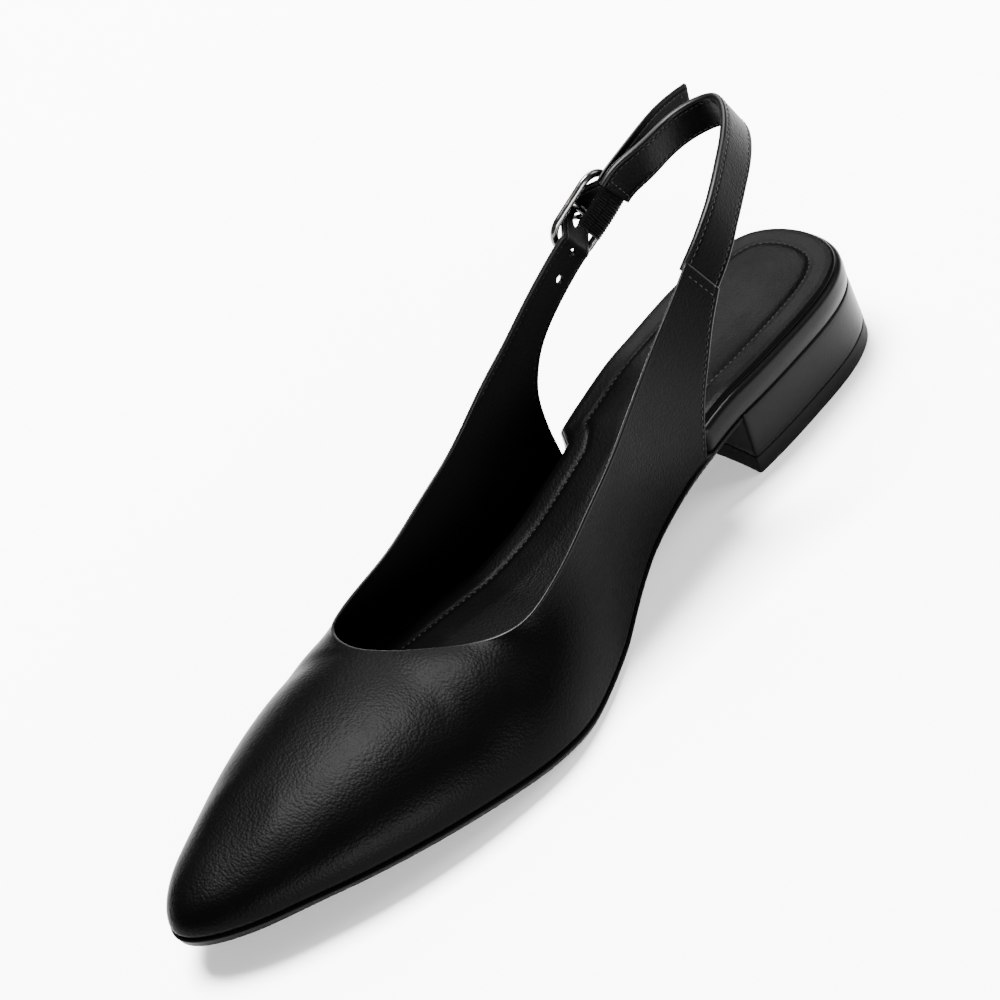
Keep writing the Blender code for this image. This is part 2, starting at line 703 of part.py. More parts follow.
def wire(name, points, diameter, cyclic=False, resolution=3):
    """Round wire through points, as a closed mesh."""
    curve = bpy.data.curves.new(name, "CURVE")
    curve.dimensions = "3D"
    curve.bevel_depth = diameter / 2
    curve.bevel_resolution = resolution
    curve.use_fill_caps = True
    line = curve.splines.new("POLY")
    line.points.add(len(points) - 1)
    for point, place in zip(line.points, points):
        point.co = (*place, 1.0)
    line.use_cyclic_u = cyclic
    guide = bpy.data.objects.new(name + "_guide", curve)
    PARTS.objects.link(guide)
    graph = bpy.context.evaluated_depsgraph_get()
    mesh = bpy.data.meshes.new_from_object(guide.evaluated_get(graph))
    bpy.data.objects.remove(guide)
    bm = bmesh.new()
    bm.from_mesh(mesh)
    bmesh.ops.remove_doubles(bm, verts=bm.verts, dist=0.01 * MM)
    bmesh.ops.recalc_face_normals(bm, faces=bm.faces)
    bm.to_mesh(mesh)
    bm.free()
    mesh.name = name
    obj = bpy.data.objects.new(name, mesh)
    PARTS.objects.link(obj)
    obj.parent = FRAME
    return obj


def build_buckle():
    """Round cornered wire frame with a bar across, and the prong on the bar."""
    reach = (BUCKLE_LENGTH - BUCKLE_WIRE) / 2
    rise = (BUCKLE_WIDTH - BUCKLE_WIRE) / 2
    ring = []
    for turn, (sx, sy) in enumerate(((1, 1), (-1, 1), (-1, -1), (1, -1))):
        for angle in np.radians(np.linspace(90 * turn, 90 * turn + 90, 6)):
            back = sx * (reach - BUCKLE_CORNER) + BUCKLE_CORNER * np.cos(angle)
            up = sy * (rise - BUCKLE_CORNER) + BUCKLE_CORNER * np.sin(angle)
            ring.append(at_buckle(back, 0.0, up))
    frame = wire("buckle_frame", ring, BUCKLE_WIRE, cyclic=True, resolution=3)
    bow = [(-1.0, 0.0), (-0.8, -BAR_DROP * 0.75), (-0.6, -BAR_DROP), (0.6, -BAR_DROP),
           (0.8, -BAR_DROP * 0.75), (1.0, 0.0)]
    bar = wire("buckle_bar", [at_buckle(0.0, out, up * rise) for up, out in bow],
               BAR_WIRE, resolution=2)
    join = frame.modifiers.new("bar", "BOOLEAN")
    join.operation = "UNION"
    join.solver = "EXACT"
    join.object = bar
    PARTS.objects.unlink(bar)
    CUTTERS.objects.link(bar)
    bar.display_type = "WIRE"
    bar.hide_render = True
    finish(frame, (0.72, 0.71, 0.69), 0.18, metallic=1.0)
    round_bar = BAR_WIRE / 2 + FIT + PRONG_WIRE / 2
    rest = BUCKLE_WIRE / 2 + FIT + PRONG_WIRE / 2
    path = [(round_bar * 0.7, -BAR_DROP - round_bar * 0.7), (round_bar, -BAR_DROP),
            (round_bar * 0.7, -BAR_DROP + round_bar * 0.7), (0.0, -BAR_DROP + round_bar),
            (PRONG_AT * 0.75, OVER_BAR - WALL * 0.6), (PRONG_AT * 1.25, OVER_BAR + PRONG_WIRE * 0.9),
            (-BAR_REACH * 0.6, rest + 0.6 * PRONG_WIRE), (-BAR_REACH, rest),
            (-BAR_REACH - BUCKLE_WIRE * 0.7, rest - 0.2 * PRONG_WIRE)]
    route = spline([at_buckle(back, out) for back, out in path])
    prong = wire("buckle_prong", route(np.linspace(0, 1, 22)), PRONG_WIRE, resolution=2)
    finish(prong, (0.72, 0.71, 0.69), 0.18, metallic=1.0)


for old in list(bpy.data.objects):
    bpy.data.objects.remove(old, do_unlink=True)
PARTS = bpy.data.collections.new("sling_back_flat")
CUTTERS = bpy.data.collections.new("cutters")
bpy.context.scene.collection.children.link(PARTS)
bpy.context.scene.collection.children.link(CUTTERS)
FRAME = bpy.data.objects.new("heel_middle", None)
FRAME.location = (-HEEL_CENTRE, 0.0, 0.0)
PARTS.objects.link(FRAME)
bpy.context.view_layer.update()

build_outsole()
build_heel()
build_board()
build_upper()
build_sling()
build_buckle()
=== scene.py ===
"""Shown model of the womens sling back flat, right shoe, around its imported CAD.

Metres. The tables below are those of the part's source, so every shown
surface sits where its solid does.
"""
import math
import bmesh
import bpy
import numpy as np
from mathutils import Matrix, Vector


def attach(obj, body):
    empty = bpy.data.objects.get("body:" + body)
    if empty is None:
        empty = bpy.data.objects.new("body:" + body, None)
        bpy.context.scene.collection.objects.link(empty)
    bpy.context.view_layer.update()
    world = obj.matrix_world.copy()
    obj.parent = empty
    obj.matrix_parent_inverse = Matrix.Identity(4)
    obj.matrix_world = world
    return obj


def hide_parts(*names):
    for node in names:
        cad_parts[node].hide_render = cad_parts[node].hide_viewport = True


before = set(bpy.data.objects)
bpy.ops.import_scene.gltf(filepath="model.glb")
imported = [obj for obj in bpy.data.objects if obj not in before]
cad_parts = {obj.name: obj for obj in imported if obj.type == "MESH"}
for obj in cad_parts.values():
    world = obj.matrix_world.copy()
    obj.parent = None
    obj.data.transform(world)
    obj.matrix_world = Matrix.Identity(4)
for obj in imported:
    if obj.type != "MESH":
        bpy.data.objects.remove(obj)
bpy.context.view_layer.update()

MM = 0.001

# Lengths and widths of the last
SOLE_LENGTH = 262 * MM
BALL_WIDTH = 76.5 * MM
WAIST_WIDTH = 43.7 * MM
HEEL_WIDTH = 47 * MM
HEEL_CENTRE = 32 * MM

# Heights over the floor
SEAT_HEIGHT = 19.6 * MM
TOE_SPRING = 10.2 * MM
INSTEP_HEIGHT = 33.4 * MM
STRAP_HEIGHT = 77.7 * MM

# Bottom parts
OUTSOLE_THICKNESS = 3 * MM
OUTSOLE_WELT = 0.2 * MM
OUTSOLE_BEVEL = 1.2 * MM
TOE_BEVEL = 0.4 * MM
TOE_BEVEL_LENGTH = 30 * MM
TOP_PIECE_HEIGHT = 5.4 * MM
HEEL_LENGTH = 63 * MM
HEEL_FLARE = 0.5 * MM
BREAST_HOLLOW = 2 * MM
BREAST_RAKE = 1.6 * MM
BOARD_HEEL = 7.6 * MM
BOARD_FORE = 3.6 * MM
BOARD_TAPER = 2.0 * MM
SOCK_THICKNESS = 0.9 * MM
SOCK_INSET = 1.4 * MM
NOTCH_LENGTH = 3 * MM

# Upper and straps
WALL = 1.5 * MM
STRAP_WIDTH = 13 * MM
STRAP_THICKNESS = 2 * MM
SEAM_BLEND = 18 * MM
ELASTIC_THICKNESS = 1.6 * MM
ELASTIC_LENGTH = 9 * MM
ELASTIC_WIDTH = 11 * MM
ELASTIC_LIFT = 1 * MM
HOLE_DIAMETER = 2.4 * MM
HOLE_PITCH = 8 * MM
HOLE_SAG = 0.25 * MM
PRONG_HOLE = 4.2 * MM

# How fully the ribs of the upper bulge
RIB_FULLNESS = 0.6

# Share of the ridge after which its ribs come to rest at the nose
RIDGE_EASE = 0.75

# Buckle
BUCKLE_LENGTH = 24.5 * MM
BUCKLE_WIDTH = 18.5 * MM
BUCKLE_WIRE = 2.2 * MM
BUCKLE_CORNER = 5.5 * MM
BAR_WIRE = 1.8 * MM
BAR_DROP = 1.2 * MM
PRONG_WIRE = 1.4 * MM

# Clearance between pieces that touch
FIT = 0.3 * MM

# Outline of the sole
# share of the length, width that the row follows, inner and outer half width
SOLE_ROWS = (
    (0.020, HEEL_WIDTH, 0.323, 0.330),
    (0.070, HEEL_WIDTH, 0.468, 0.462),
    (0.140, HEEL_WIDTH, 0.498, 0.504),
    (0.220, HEEL_WIDTH, 0.489, 0.482),
    (0.320, WAIST_WIDTH, 0.474, 0.526),
    (0.420, WAIST_WIDTH, 0.510, 0.584),
    (0.520, BALL_WIDTH, 0.423, 0.421),
    (0.620, BALL_WIDTH, 0.524, 0.484),
    (0.700, BALL_WIDTH, 0.502, 0.490),
    (0.780, BALL_WIDTH, 0.427, 0.458),
    (0.860, BALL_WIDTH, 0.311, 0.385),
    (0.920, BALL_WIDTH, 0.195, 0.312),
    (0.965, BALL_WIDTH, 0.088, 0.246),
)
TIP_SHIFT = -0.095

# Line where the upper meets the outsole
# share of the length, share of the seat height, share of the toe spring
PROFILE_ROWS = (
    (0.000, 1.000, 0.000),
    (0.115, 1.020, 0.000),
    (0.230, 1.028, 0.000),
    (0.305, 0.845, 0.000),
    (0.382, 0.500, 0.000),
    (0.458, 0.140, 0.000),
    (0.510, 0.000, 0.000),
    (0.580, 0.000, 0.000),
    (0.650, 0.000, 0.210),
    (0.763, 0.000, 0.605),
    (0.840, 0.000, 0.807),
    (0.916, 0.000, 0.950),
    (1.000, 0.000, 1.000),
)

# Ridge of the vamp, from the throat to the toe, and the feet of its ribs
# length, side in ball widths, share of the instep height, inner foot, outer foot
RIDGE_ROWS = (
    (0.681, -0.065, 0.994, 0.706, 0.740),
    (0.725, -0.072, 1.000, 0.760, 0.779),
    (0.771, -0.078, 0.976, 0.809, 0.821),
    (0.813, -0.081, 0.934, 0.859, 0.866),
    (0.851, -0.084, 0.880, 0.905, 0.908),
    (0.878, -0.085, 0.835, 0.947, 0.948),
    (0.893, -0.086, 0.808, 0.976, 0.977),
    (0.898, -0.086, 0.799, 0.993, 0.993),
    (0.901, -0.086, 0.793, 1.000, 1.000),
)

# Ribs of the wings, from the sling down to the sole
# back edge: length, side, climb; top edge: length, side, climb
INNER_WING_ROWS = (
    (0.218, 0.324, 0.582, 0.234, 0.277, 0.849),
    (0.244, 0.328, 0.420, 0.272, 0.290, 0.742),
    (0.264, 0.325, 0.240, 0.310, 0.301, 0.640),
    (0.282, 0.306, 0.010, 0.345, 0.314, 0.540),
)
OUTER_WING_ROWS = (
    (0.262, -0.350, 0.384, 0.290, -0.360, 0.606),
    (0.301, -0.347, 0.257, 0.338, -0.374, 0.455),
    (0.324, -0.334, 0.131, 0.380, -0.386, 0.333),
    (0.338, -0.322, -0.052, 0.419, -0.395, 0.207),
)

# Ribs that stand on the sole and end on the collar
# foot: length; top edge: length, side, climb; rise; crown
INNER_RIB_ROWS = (
    (0.300, 0.385, 0.327, 0.420, 0.10, 0.00),
    (0.351, 0.428, 0.342, 0.305, 0.25, 0.00),
    (0.408, 0.473, 0.352, 0.200, 0.45, 0.05),
    (0.466, 0.515, 0.361, 0.104, 0.65, 0.15),
    (0.519, 0.557, 0.356, 0.018, 0.80, 0.30),
    (0.569, 0.595, 0.327, -0.032, 0.90, 0.50),
    (0.615, 0.628, 0.235, -0.036, 1.00, 0.75),
    (0.660, 0.656, 0.105, -0.011, 1.00, 0.95),
)
OUTER_RIB_ROWS = (
    (0.344, 0.457, -0.402, 0.100, 0.10, 0.00),
    (0.393, 0.497, -0.406, 0.026, 0.25, 0.00),
    (0.450, 0.538, -0.412, -0.054, 0.45, 0.05),
    (0.504, 0.573, -0.413, -0.098, 0.65, 0.10),
    (0.557, 0.611, -0.406, -0.108, 0.80, 0.20),
    (0.607, 0.643, -0.379, -0.088, 0.85, 0.30),
    (0.656, 0.672, -0.320, -0.054, 0.95, 0.50),
    (0.702, 0.685, -0.205, -0.018, 1.00, 0.78),
)

# Middle line of the sling, from behind the elastic round to the inner wing
# length, side in heel widths, share of the strap height, lean inwards in degrees
SLING_ROWS = (
    (0.119, -0.358, 0.945, 10.0),
    (0.070, -0.310, 0.963, 14.0),
    (0.039, -0.066, 1.000, 19.0),
    (0.073, 0.189, 1.000, 17.0),
    (0.122, 0.340, 0.974, 14.0),
    (0.175, 0.447, 0.918, 12.0),
)

# Middle line of the punched end behind the buckle, in the same columns
TIP_ROWS = (
    (0.031, -0.415, 0.950, 4.0),
    (0.070, -0.432, 0.962, 6.0),
    (0.112, -0.438, 0.950, 8.0),
)

# Middle of the buckle: length, side in heel widths, share of the strap height
BUCKLE_PLACE = (0.188, -0.538, 0.856)
BUCKLE_RUN = Vector((-0.88, 0.20, 0.44)).normalized()
BUCKLE_LEAN = 8.0

# Way of the punched strap through the buckle
# distance behind the middle bar in reaches, share of the lift over that bar
STRAP_WEAVE = ((1.0, 0.0), (0.75, 0.04), (0.35, 0.8), (0.0, 1.0), (-0.35, 0.8), (-0.75, 0.04),
               (-1.0, 0.0))


def spline(points, knots=None, closed=False):
    """Return a function that walks a smooth curve through points, 0 to 1.

    Columns after the third are carried along and don't set the pace.
    """
    pts = np.asarray(points, float)
    if closed:
        pts = np.vstack([pts, pts[:1]])
    if knots is None:
        step = np.linalg.norm(np.diff(pts[:, :3], axis=0), axis=1)
        knots = np.concatenate([[0.0], np.cumsum(np.sqrt(step))])
    knots = np.asarray(knots, float)
    gap = np.diff(knots)
    slope = np.diff(pts, axis=0) / gap[:, None]
    n = len(pts)
    a = np.zeros((n, n))
    b = np.zeros_like(pts)
    for i in range(1, n - 1):
        a[i, i - 1] = gap[i]
        a[i, i] = 2 * (gap[i - 1] + gap[i])
        a[i, i + 1] = gap[i - 1]
        b[i] = 3 * (gap[i] * slope[i - 1] + gap[i - 1] * slope[i])
    if closed:
        a[0, 0] = 2 * (gap[0] + gap[-1])
        a[0, 1] = gap[-1]
        a[0, n - 2] = gap[0]
        b[0] = 3 * (gap[0] * slope[-1] + gap[-1] * slope[0])
        a[n - 1, n - 1] = 1
        a[n - 1, 0] = -1
    else:
        a[0, 0] = 2
        a[0, 1] = 1
        b[0] = 3 * slope[0]
        a[n - 1, n - 1] = 2
        a[n - 1, n - 2] = 1
        b[n - 1] = 3 * slope[-1]
    tangent = np.linalg.solve(a, b)

    def at(u):
        t = np.atleast_1d(np.asarray(u, float)) * knots[-1]
        i = np.clip(np.searchsorted(knots, t) - 1, 0, n - 2)
        h = gap[i][:, None]
        s = (t - knots[i])[:, None] / h
        p = (2 * s**3 - 3 * s**2 + 1) * pts[i] + (s**3 - 2 * s**2 + s) * h * tangent[i]
        return p + (3 * s**2 - 2 * s**3) * pts[i + 1] + (s**3 - s**2) * h * tangent[i + 1]
    return at


def monotone(xs, ys, x):
    """Smooth interpolation that never overshoots its rows."""
    xs, ys, x = (np.asarray(v, float) for v in (xs, ys, x))
    gap = np.diff(xs)
    slope = np.diff(ys) / gap
    tangent = np.concatenate([[slope[0]], np.zeros(len(xs) - 2), [slope[-1]]])
    for i in range(1, len(xs) - 1):
        if slope[i - 1] * slope[i] > 0:
            w1 = 2 * gap[i] + gap[i - 1]
            w2 = gap[i] + 2 * gap[i - 1]
            tangent[i] = (w1 + w2) / (w1 / slope[i - 1] + w2 / slope[i])
    i = np.clip(np.searchsorted(xs, x) - 1, 0, len(xs) - 2)
    s = (x - xs[i]) / gap[i]
    p = (2 * s**3 - 3 * s**2 + 1) * ys[i] + (s**3 - 2 * s**2 + s) * gap[i] * tangent[i]
    return p + (3 * s**2 - 2 * s**3) * ys[i + 1] + (s**3 - s**2) * gap[i] * tangent[i + 1]


def feather(x):
    """Height of the line where the upper meets the outsole."""
    rows = np.array(PROFILE_ROWS)
    rise = SEAT_HEIGHT - OUTSOLE_THICKNESS
    z = OUTSOLE_THICKNESS + rows[:, 1] * rise + rows[:, 2] * TOE_SPRING
    return monotone(rows[:, 0] * SOLE_LENGTH, z, x)


def height(climb):
    """Height of a point of the wings: 0 at the throat, 1 at the sling."""
    return INSTEP_HEIGHT + climb * (STRAP_HEIGHT - INSTEP_HEIGHT)


def outline_curve():
    """Plan outline of the last's bottom as a dense closed polyline."""
    inner = [(at * SOLE_LENGTH, side * width) for at, width, side, _ in SOLE_ROWS]
    outer = [(at * SOLE_LENGTH, -side * width) for at, width, _, side in SOLE_ROWS]
    tip = [(SOLE_LENGTH, TIP_SHIFT * BALL_WIDTH)]
    walk = spline([(0.0, 0.0)] + inner + tip + outer[::-1], closed=True)
    return walk(np.linspace(0, 1, 2001))


OUTLINE = outline_curve()


def inset_outline(inset):
    """The outline moved inwards, by one amount or by one for each x and y."""
    tangent = np.gradient(OUTLINE, axis=0)
    tangent /= np.linalg.norm(tangent, axis=1)[:, None]
    inward = np.stack([tangent[:, 1], -tangent[:, 0]], axis=1)
    amount = inset(*OUTLINE.T) if callable(inset) else inset * np.ones(len(OUTLINE))
    return OUTLINE + inward * amount[:, None]


def split_sides(curve):
    """The inner and the outer side of a closed plan curve, heel to toe."""
    ring = curve[:-1]
    ring = np.roll(ring, -int(np.argmin(ring[:, 0])), axis=0)
    toe = int(np.argmax(ring[:, 0]))
    inner = ring[:toe + 1]
    outer = np.vstack([ring[:1], ring[toe:][::-1]])
    return inner, outer


def width_at(side, x):
    """Side value of one side of a plan curve at each length x."""
    return np.interp(x, side[:, 0], side[:, 1])


def breast(share, z):
    """Length of the heel's front face, hollow across and raked forwards."""
    hollow = BREAST_HOLLOW * (1 - (2 * share - 1) ** 2)
    return HEEL_LENGTH - hollow + BREAST_RAKE * (1 - z / SEAT_HEIGHT)


def covered(x, y):
    """0 on the open board behind the wings, 1 where the upper wraps it."""
    foot = np.where(y > 0, INNER_RIB_ROWS[0][0], OUTER_RIB_ROWS[0][0]) * SOLE_LENGTH
    return np.clip((x - foot) / NOTCH_LENGTH + 1, 0, 1)


def board_height(x):
    """Thickness of the board: thick under the heel, thin under the toes."""
    share = np.clip((x - HEEL_LENGTH) / (0.3 * SOLE_LENGTH), 0, 1)
    return BOARD_HEEL + (BOARD_FORE - BOARD_HEEL) * share * share * (3 - 2 * share)


def lean_frame(points, lean):
    """Run, width direction and outward normal of a strap that runs backwards
    along the outer side of the foot."""
    run = np.gradient(points, axis=0)
    run /= np.linalg.norm(run, axis=1)[:, None]
    inward = np.cross(run, (0.0, 0.0, 1.0))
    inward /= np.linalg.norm(inward, axis=1)[:, None]
    up = np.cross(inward, run)
    angle = np.radians(lean)[:, None]
    width = up * np.cos(angle) + inward * np.sin(angle)
    return run, width, np.cross(width, run)


def strap_points(rows):
    """Points and leans of a strap table."""
    rows = np.array(rows)
    size = np.array([SOLE_LENGTH, HEEL_WIDTH, STRAP_HEIGHT])
    return rows[:, :3] * size, rows[:, 3]


def buckle_frame_axes():
    """Middle of the buckle and its three directions: back, up and outward."""
    middle = np.array(BUCKLE_PLACE) * (SOLE_LENGTH, HEEL_WIDTH, STRAP_HEIGHT)
    run = np.array(BUCKLE_RUN)
    pair = np.stack([middle, middle + run])
    _, width, normal = lean_frame(pair, np.full(2, BUCKLE_LEAN))
    return middle, run, width[0], normal[0]


def at_buckle(back, out, up=0.0):
    """Point given by its distances from the middle of the buckle."""
    middle, run, width, normal = buckle_frame_axes()
    return middle + run * back + normal * out + width * up


BAR_REACH = (BUCKLE_LENGTH - BUCKLE_WIRE) / 2
UNDER_BAR = -(BUCKLE_WIRE / 2 + 2 * FIT)
OVER_BAR = BAR_WIRE / 2 - BAR_DROP + PRONG_WIRE + 2 * FIT + WALL
PRONG_AT = -(BAR_WIRE / 2 + FIT + PRONG_WIRE)


def strap_rows():
    """Lower and upper edge of the punched strap from its tip to the buckle."""
    points, lean = strap_points(TIP_ROWS)
    weave = np.array([at_buckle(back * BAR_REACH, UNDER_BAR + lift * (OVER_BAR - UNDER_BAR))
                      for back, lift in STRAP_WEAVE])
    _, width, _ = lean_frame(np.vstack([points, weave[:1]])[::-1], np.append(lean, 0)[::-1])
    middle = np.vstack([points, weave])
    across = np.vstack([width[::-1][:-1], [buckle_frame_axes()[2]] * len(weave)])
    return middle - across * STRAP_WIDTH / 2, middle + across * STRAP_WIDTH / 2


def scaled(row):
    """A point of the collar or of a wing's back edge from its row."""
    return np.array([row[0] * SOLE_LENGTH, row[1] * BALL_WIDTH, height(row[2])])


def ridge_points():
    """Points of the vamp's ridge, from the throat to the nose."""
    return np.array(RIDGE_ROWS)[:, :3] * (SOLE_LENGTH, BALL_WIDTH, INSTEP_HEIGHT)


def ridge_fall(x):
    """Slope of the ridge at a length."""
    line = spline(ridge_points(), knots=range(len(RIDGE_ROWS)))(np.linspace(0, 1, 101))
    return float(np.interp(x, line[:, 0], np.gradient(line[:, 2], line[:, 0])))


def sole_bevel(x):
    """How far the tread lies inside the outline: little at the toe."""
    toe = np.clip((x - SOLE_LENGTH) / TOE_BEVEL_LENGTH + 1, 0, 1)
    return OUTSOLE_BEVEL + (TOE_BEVEL - OUTSOLE_BEVEL) * toe


ORIGIN = np.array([-HEEL_CENTRE, 0.0, 0.0])

# Sampling of the upper's shown surface
RIBS_PER_ROW = 9
RIB_CURVE_POINTS = 161
RIB_STEPS = 60
END_PULL = 0.7
SMOOTHING_ROUNDS = 260
SMOOTHING_STEPS = (0.55, -0.553)

# Margins of the upper that the smoothing leaves in place
HELD_FOOT = 3 * MM
HELD_TOP = 2 * MM
HELD_FADE = 8 * MM
HELD_RIBS = 4 * RIBS_PER_ROW
NOSE_REST = 6 * MM
NOSE_REACH = 20 * MM

# Leather's thickness, and how it turns in under the foot
LIP = 1.2 * MM
TURN_HEIGHT = 1.8 * MM
TURN_DEPTH = 0.9 * MM
TURN_ROWS = 0.6
TRIM_ROWS = 0.5

# Stitches, and the grooves that they lie in
STITCH_PITCH = 1.9 * MM
STITCH_LENGTH = 1.35 * MM
THREAD = 0.27 * MM
THREAD_RAISED = 0.03 * MM
THREAD_SINK = 0.75
THREAD_TAPER = 0.45
STITCH_EDGE = 1.6 * MM
GROOVE_DEPTH = 0.14 * MM
GROOVE_WIDTH = 0.42 * MM
END_RIBS = 40
TOP_SEAM_ROWS = 2.5

# Sling's edge, and the step where it lies over the inner wing
STRAP_EDGE = 0.55 * MM
FACE_POINTS = 40
SLING_POINTS = 220
SLING_END_RING = 4
SEAM_LAP = 1.5 * MM
SEAM_STEP = 0.6 * MM
SEAM_RAMP = 9 * MM

# Gathers of the elastic
PLEATS = 11
PLEAT_RISE = 0.35 * MM
PLEAT_SEAM = 0.25 * MM
ELASTIC_ROUND = 0.55 * MM
ELASTIC_SUNK = 0.2 * MM
ELASTIC_FRONT = -3 * MM
ELASTIC_LAP = 1.2 * MM
ELASTIC_RINGS = 180

# Rounded edges of the bottom parts, and how finely their rings are drawn
BAND_ROUND = 1.5 * MM
BLOCK_ROUND = 0.6 * MM
LIFT_ROUND = 0.45 * MM
BLOCK_SUNK = 0.1 * MM
BLOCK_LAP = 0.2 * MM
BOARD_POINTS = 640
HEEL_POINTS = 420
SOLE_POINTS = 900
BREAST_POINTS = 40
CAP_STEPS = 110

# Foot of the band: inset, share of the board's height, lift
BAND_FOOT = (
    (0.9 * MM, 0.0, 0.05 * MM),
    (0.25 * MM, 0.0, 0.25 * MM),
    (0.0, 0.0, 0.8 * MM),
    (-0.12 * MM, 0.5, 0.0),
)

# Section of the sole's side: share of the bevel, inset, height from its top
SOLE_SECTION = (
    (1.0, 0.5 * MM, -OUTSOLE_THICKNESS),
    (1.0, 0.15 * MM, -OUTSOLE_THICKNESS + 0.08 * MM),
    (0.9, 0.0, -OUTSOLE_THICKNESS + 0.35 * MM),
    (0.3, 0.0, -1.5 * MM),
    (0.0, 0.0, -1.05 * MM),
    (0.0, -OUTSOLE_WELT, -0.75 * MM),
    (0.0, -OUTSOLE_WELT, -0.45 * MM),
    (0.0, 0.0, -0.28 * MM),
    (0.0, 0.8 * MM, -0.22 * MM),
)

# Padding of the sock
SOCK_ROUND = 0.8 * MM
SOCK_STITCH = 7.0 * MM
SOCK_THREAD_RAISED = 0.16 * MM
SOCK_STITCH_END = 0.74
SOCK_GROOVE_DEPTH = 0.2 * MM
SOCK_GROOVE_WIDTH = 0.9 * MM
PILLOW_RISE = 0.8 * MM
PILLOW_REACH = 9 * MM
SOCK_RIM_RISE = 0.35 * MM
SOCK_RIM_REACH = 2.5 * MM

# Tread
TREAD_RIM = 7 * MM
TREAD_BACK = 0.44
TREAD_SLANT = 0.5
TREAD_PITCH = 2.4 * MM
TREAD_DEPTH = 0.45 * MM
TREAD_RIDGE = 0.4 * MM
TREAD_EDGE = 0.5 * MM

# Leather's grain: its bends and its fine noise against the pebbles
BEND_GRAIN = 0.45
BEND_SHIFT = 0.9
FINE_GRAIN = 2.3
FINE_SHARE = 0.25
PEBBLE_SMOOTH = 0.2

# How steep a face may stand for a crease to show, and the swell beside it
CREASE_TILT = 0.3
CREASE_SWELL = 0.35

# Creases of the vamp in plan, world millimetres: two ends, depth, half width
CREASE_ROWS = (
    (152, 4, 166, 20, 0.07, 2.2),
    (143, 12, 157, 29, 0.09, 2.0),
    (134, 20, 146, 36, 0.08, 1.9),
    (152, -20, 163, -30, 0.08, 2.1),
    (141, -25, 151, -36, 0.09, 2.0),
)


def ease_ends(count):
    """Shares from 0 to 1, closer together near both ends."""
    t = np.linspace(0, 1, count)
    return t - END_PULL * np.sin(2 * np.pi * t) / (2 * np.pi)


def unit(v):
    """Vectors of length one."""
    return v / np.maximum(np.linalg.norm(v, axis=-1, keepdims=True), 1e-12)


def lengths(points):
    """Distance along a run of points."""
    return np.concatenate([[0.0], np.cumsum(np.linalg.norm(np.diff(points, axis=0), axis=1))])


def sample(points, at, run=None):
    """Columns of a run of points, read at distances along it."""
    run = lengths(points[:, :3]) if run is None else run
    return np.stack([np.interp(at, run, column) for column in points.T], axis=1)


def quads(a, b):
    """Quads between two rows of vertex numbers."""
    return np.stack([a[:-1], b[:-1], b[1:], a[1:]], axis=1)


def band(a, b):
    """Quads between two closed rows of vertex numbers."""
    return np.stack([a, b, np.roll(b, -1), np.roll(a, -1)], axis=1)


def skin(grid):
    """Points and faces of a body from its rings, closed at both ends."""
    row = np.arange(grid.shape[0] * grid.shape[1]).reshape(grid.shape[:2])
    faces = []
    for a, b in zip(row[:-1], row[1:]):
        faces += band(a, b).tolist()
    return grid.reshape(-1, 3), faces + [row[0].tolist(), row[-1].tolist()]


def new_piece(name, verts, faces, material, slot, node=None, sharp=40):
    """Mesh piece that rides with the shoe and stands for a CAD node."""
    mesh = bpy.data.meshes.new(name)
    points = np.asarray(verts, float) + ORIGIN
    mesh.from_pydata(points.tolist(), [], [list(map(int, f)) for f in faces])
    bm = bmesh.new()
    bm.from_mesh(mesh)
    bmesh.ops.recalc_face_normals(bm, faces=bm.faces)
    bm.to_mesh(mesh)
    bm.free()
    mesh.shade_smooth()
    mesh.set_sharp_from_angle(angle=math.radians(sharp))
    obj = bpy.data.objects.new(name, mesh)
    bpy.context.scene.collection.objects.link(obj)
    mesh.materials.append(material)
    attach(obj, "root")
    if node:
        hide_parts(node)
    return obj


# Materials

def new_material(name, color, roughness, metallic=0.0, specular=0.5):
    """Principled material and its node tree."""
    mat = bpy.data.materials.new(name)
    mat.use_nodes = True
    tree = mat.node_tree
    shader = tree.nodes["Principled BSDF"]
    shader.inputs["Base Color"].default_value = (*color, 1.0)
    shader.inputs["Roughness"].default_value = roughness
    shader.inputs["Metallic"].default_value = metallic
    shader.inputs["Specular IOR Level"].default_value = specular
    return mat, tree, shader


def add_node(tree, kind, **values):
    """Node of a kind, with its settings and the values of its inputs."""
    node = tree.nodes.new(kind)
    for key, value in values.items():
        if key in node.inputs:
            node.inputs[key].default_value = value
        else:
            setattr(node, key, value)
    return node


def place(tree, stretch=(1.0, 1.0, 1.0)):
    """Coordinates of a texture, in metres, stretched along the axes."""
    coords = add_node(tree, "ShaderNodeTexCoord")
    move = add_node(tree, "ShaderNodeMapping", Scale=stretch)
    tree.links.new(coords.outputs["Object"], move.inputs["Vector"])
    return move.outputs["Vector"]


def vary(tree, shader, socket, where, scale, low, high):
    """Soft patches on one value of the shader."""
    noise = add_node(tree, "ShaderNodeTexNoise", Scale=scale, Detail=4.0, Roughness=0.6)
    span = add_node(tree, "ShaderNodeMapRange")
    span.inputs["From Min"].default_value = 0.3
    span.inputs["From Max"].default_value = 0.7
    span.inputs["To Min"].default_value = low
    span.inputs["To Max"].default_value = high
    tree.links.new(where, noise.inputs["Vector"])
    tree.links.new(noise.outputs["Fac"], span.inputs["Value"])
    tree.links.new(span.outputs["Result"], shader.inputs[socket])


def add_bump(tree, shader, height, depth):
    """Fine relief of a depth in metres from a height between 0 and 1."""
    bump = add_node(tree, "ShaderNodeBump", Strength=1.0, Distance=depth)
    tree.links.new(height, bump.inputs["Height"])
    tree.links.new(bump.outputs["Normal"], shader.inputs["Normal"])


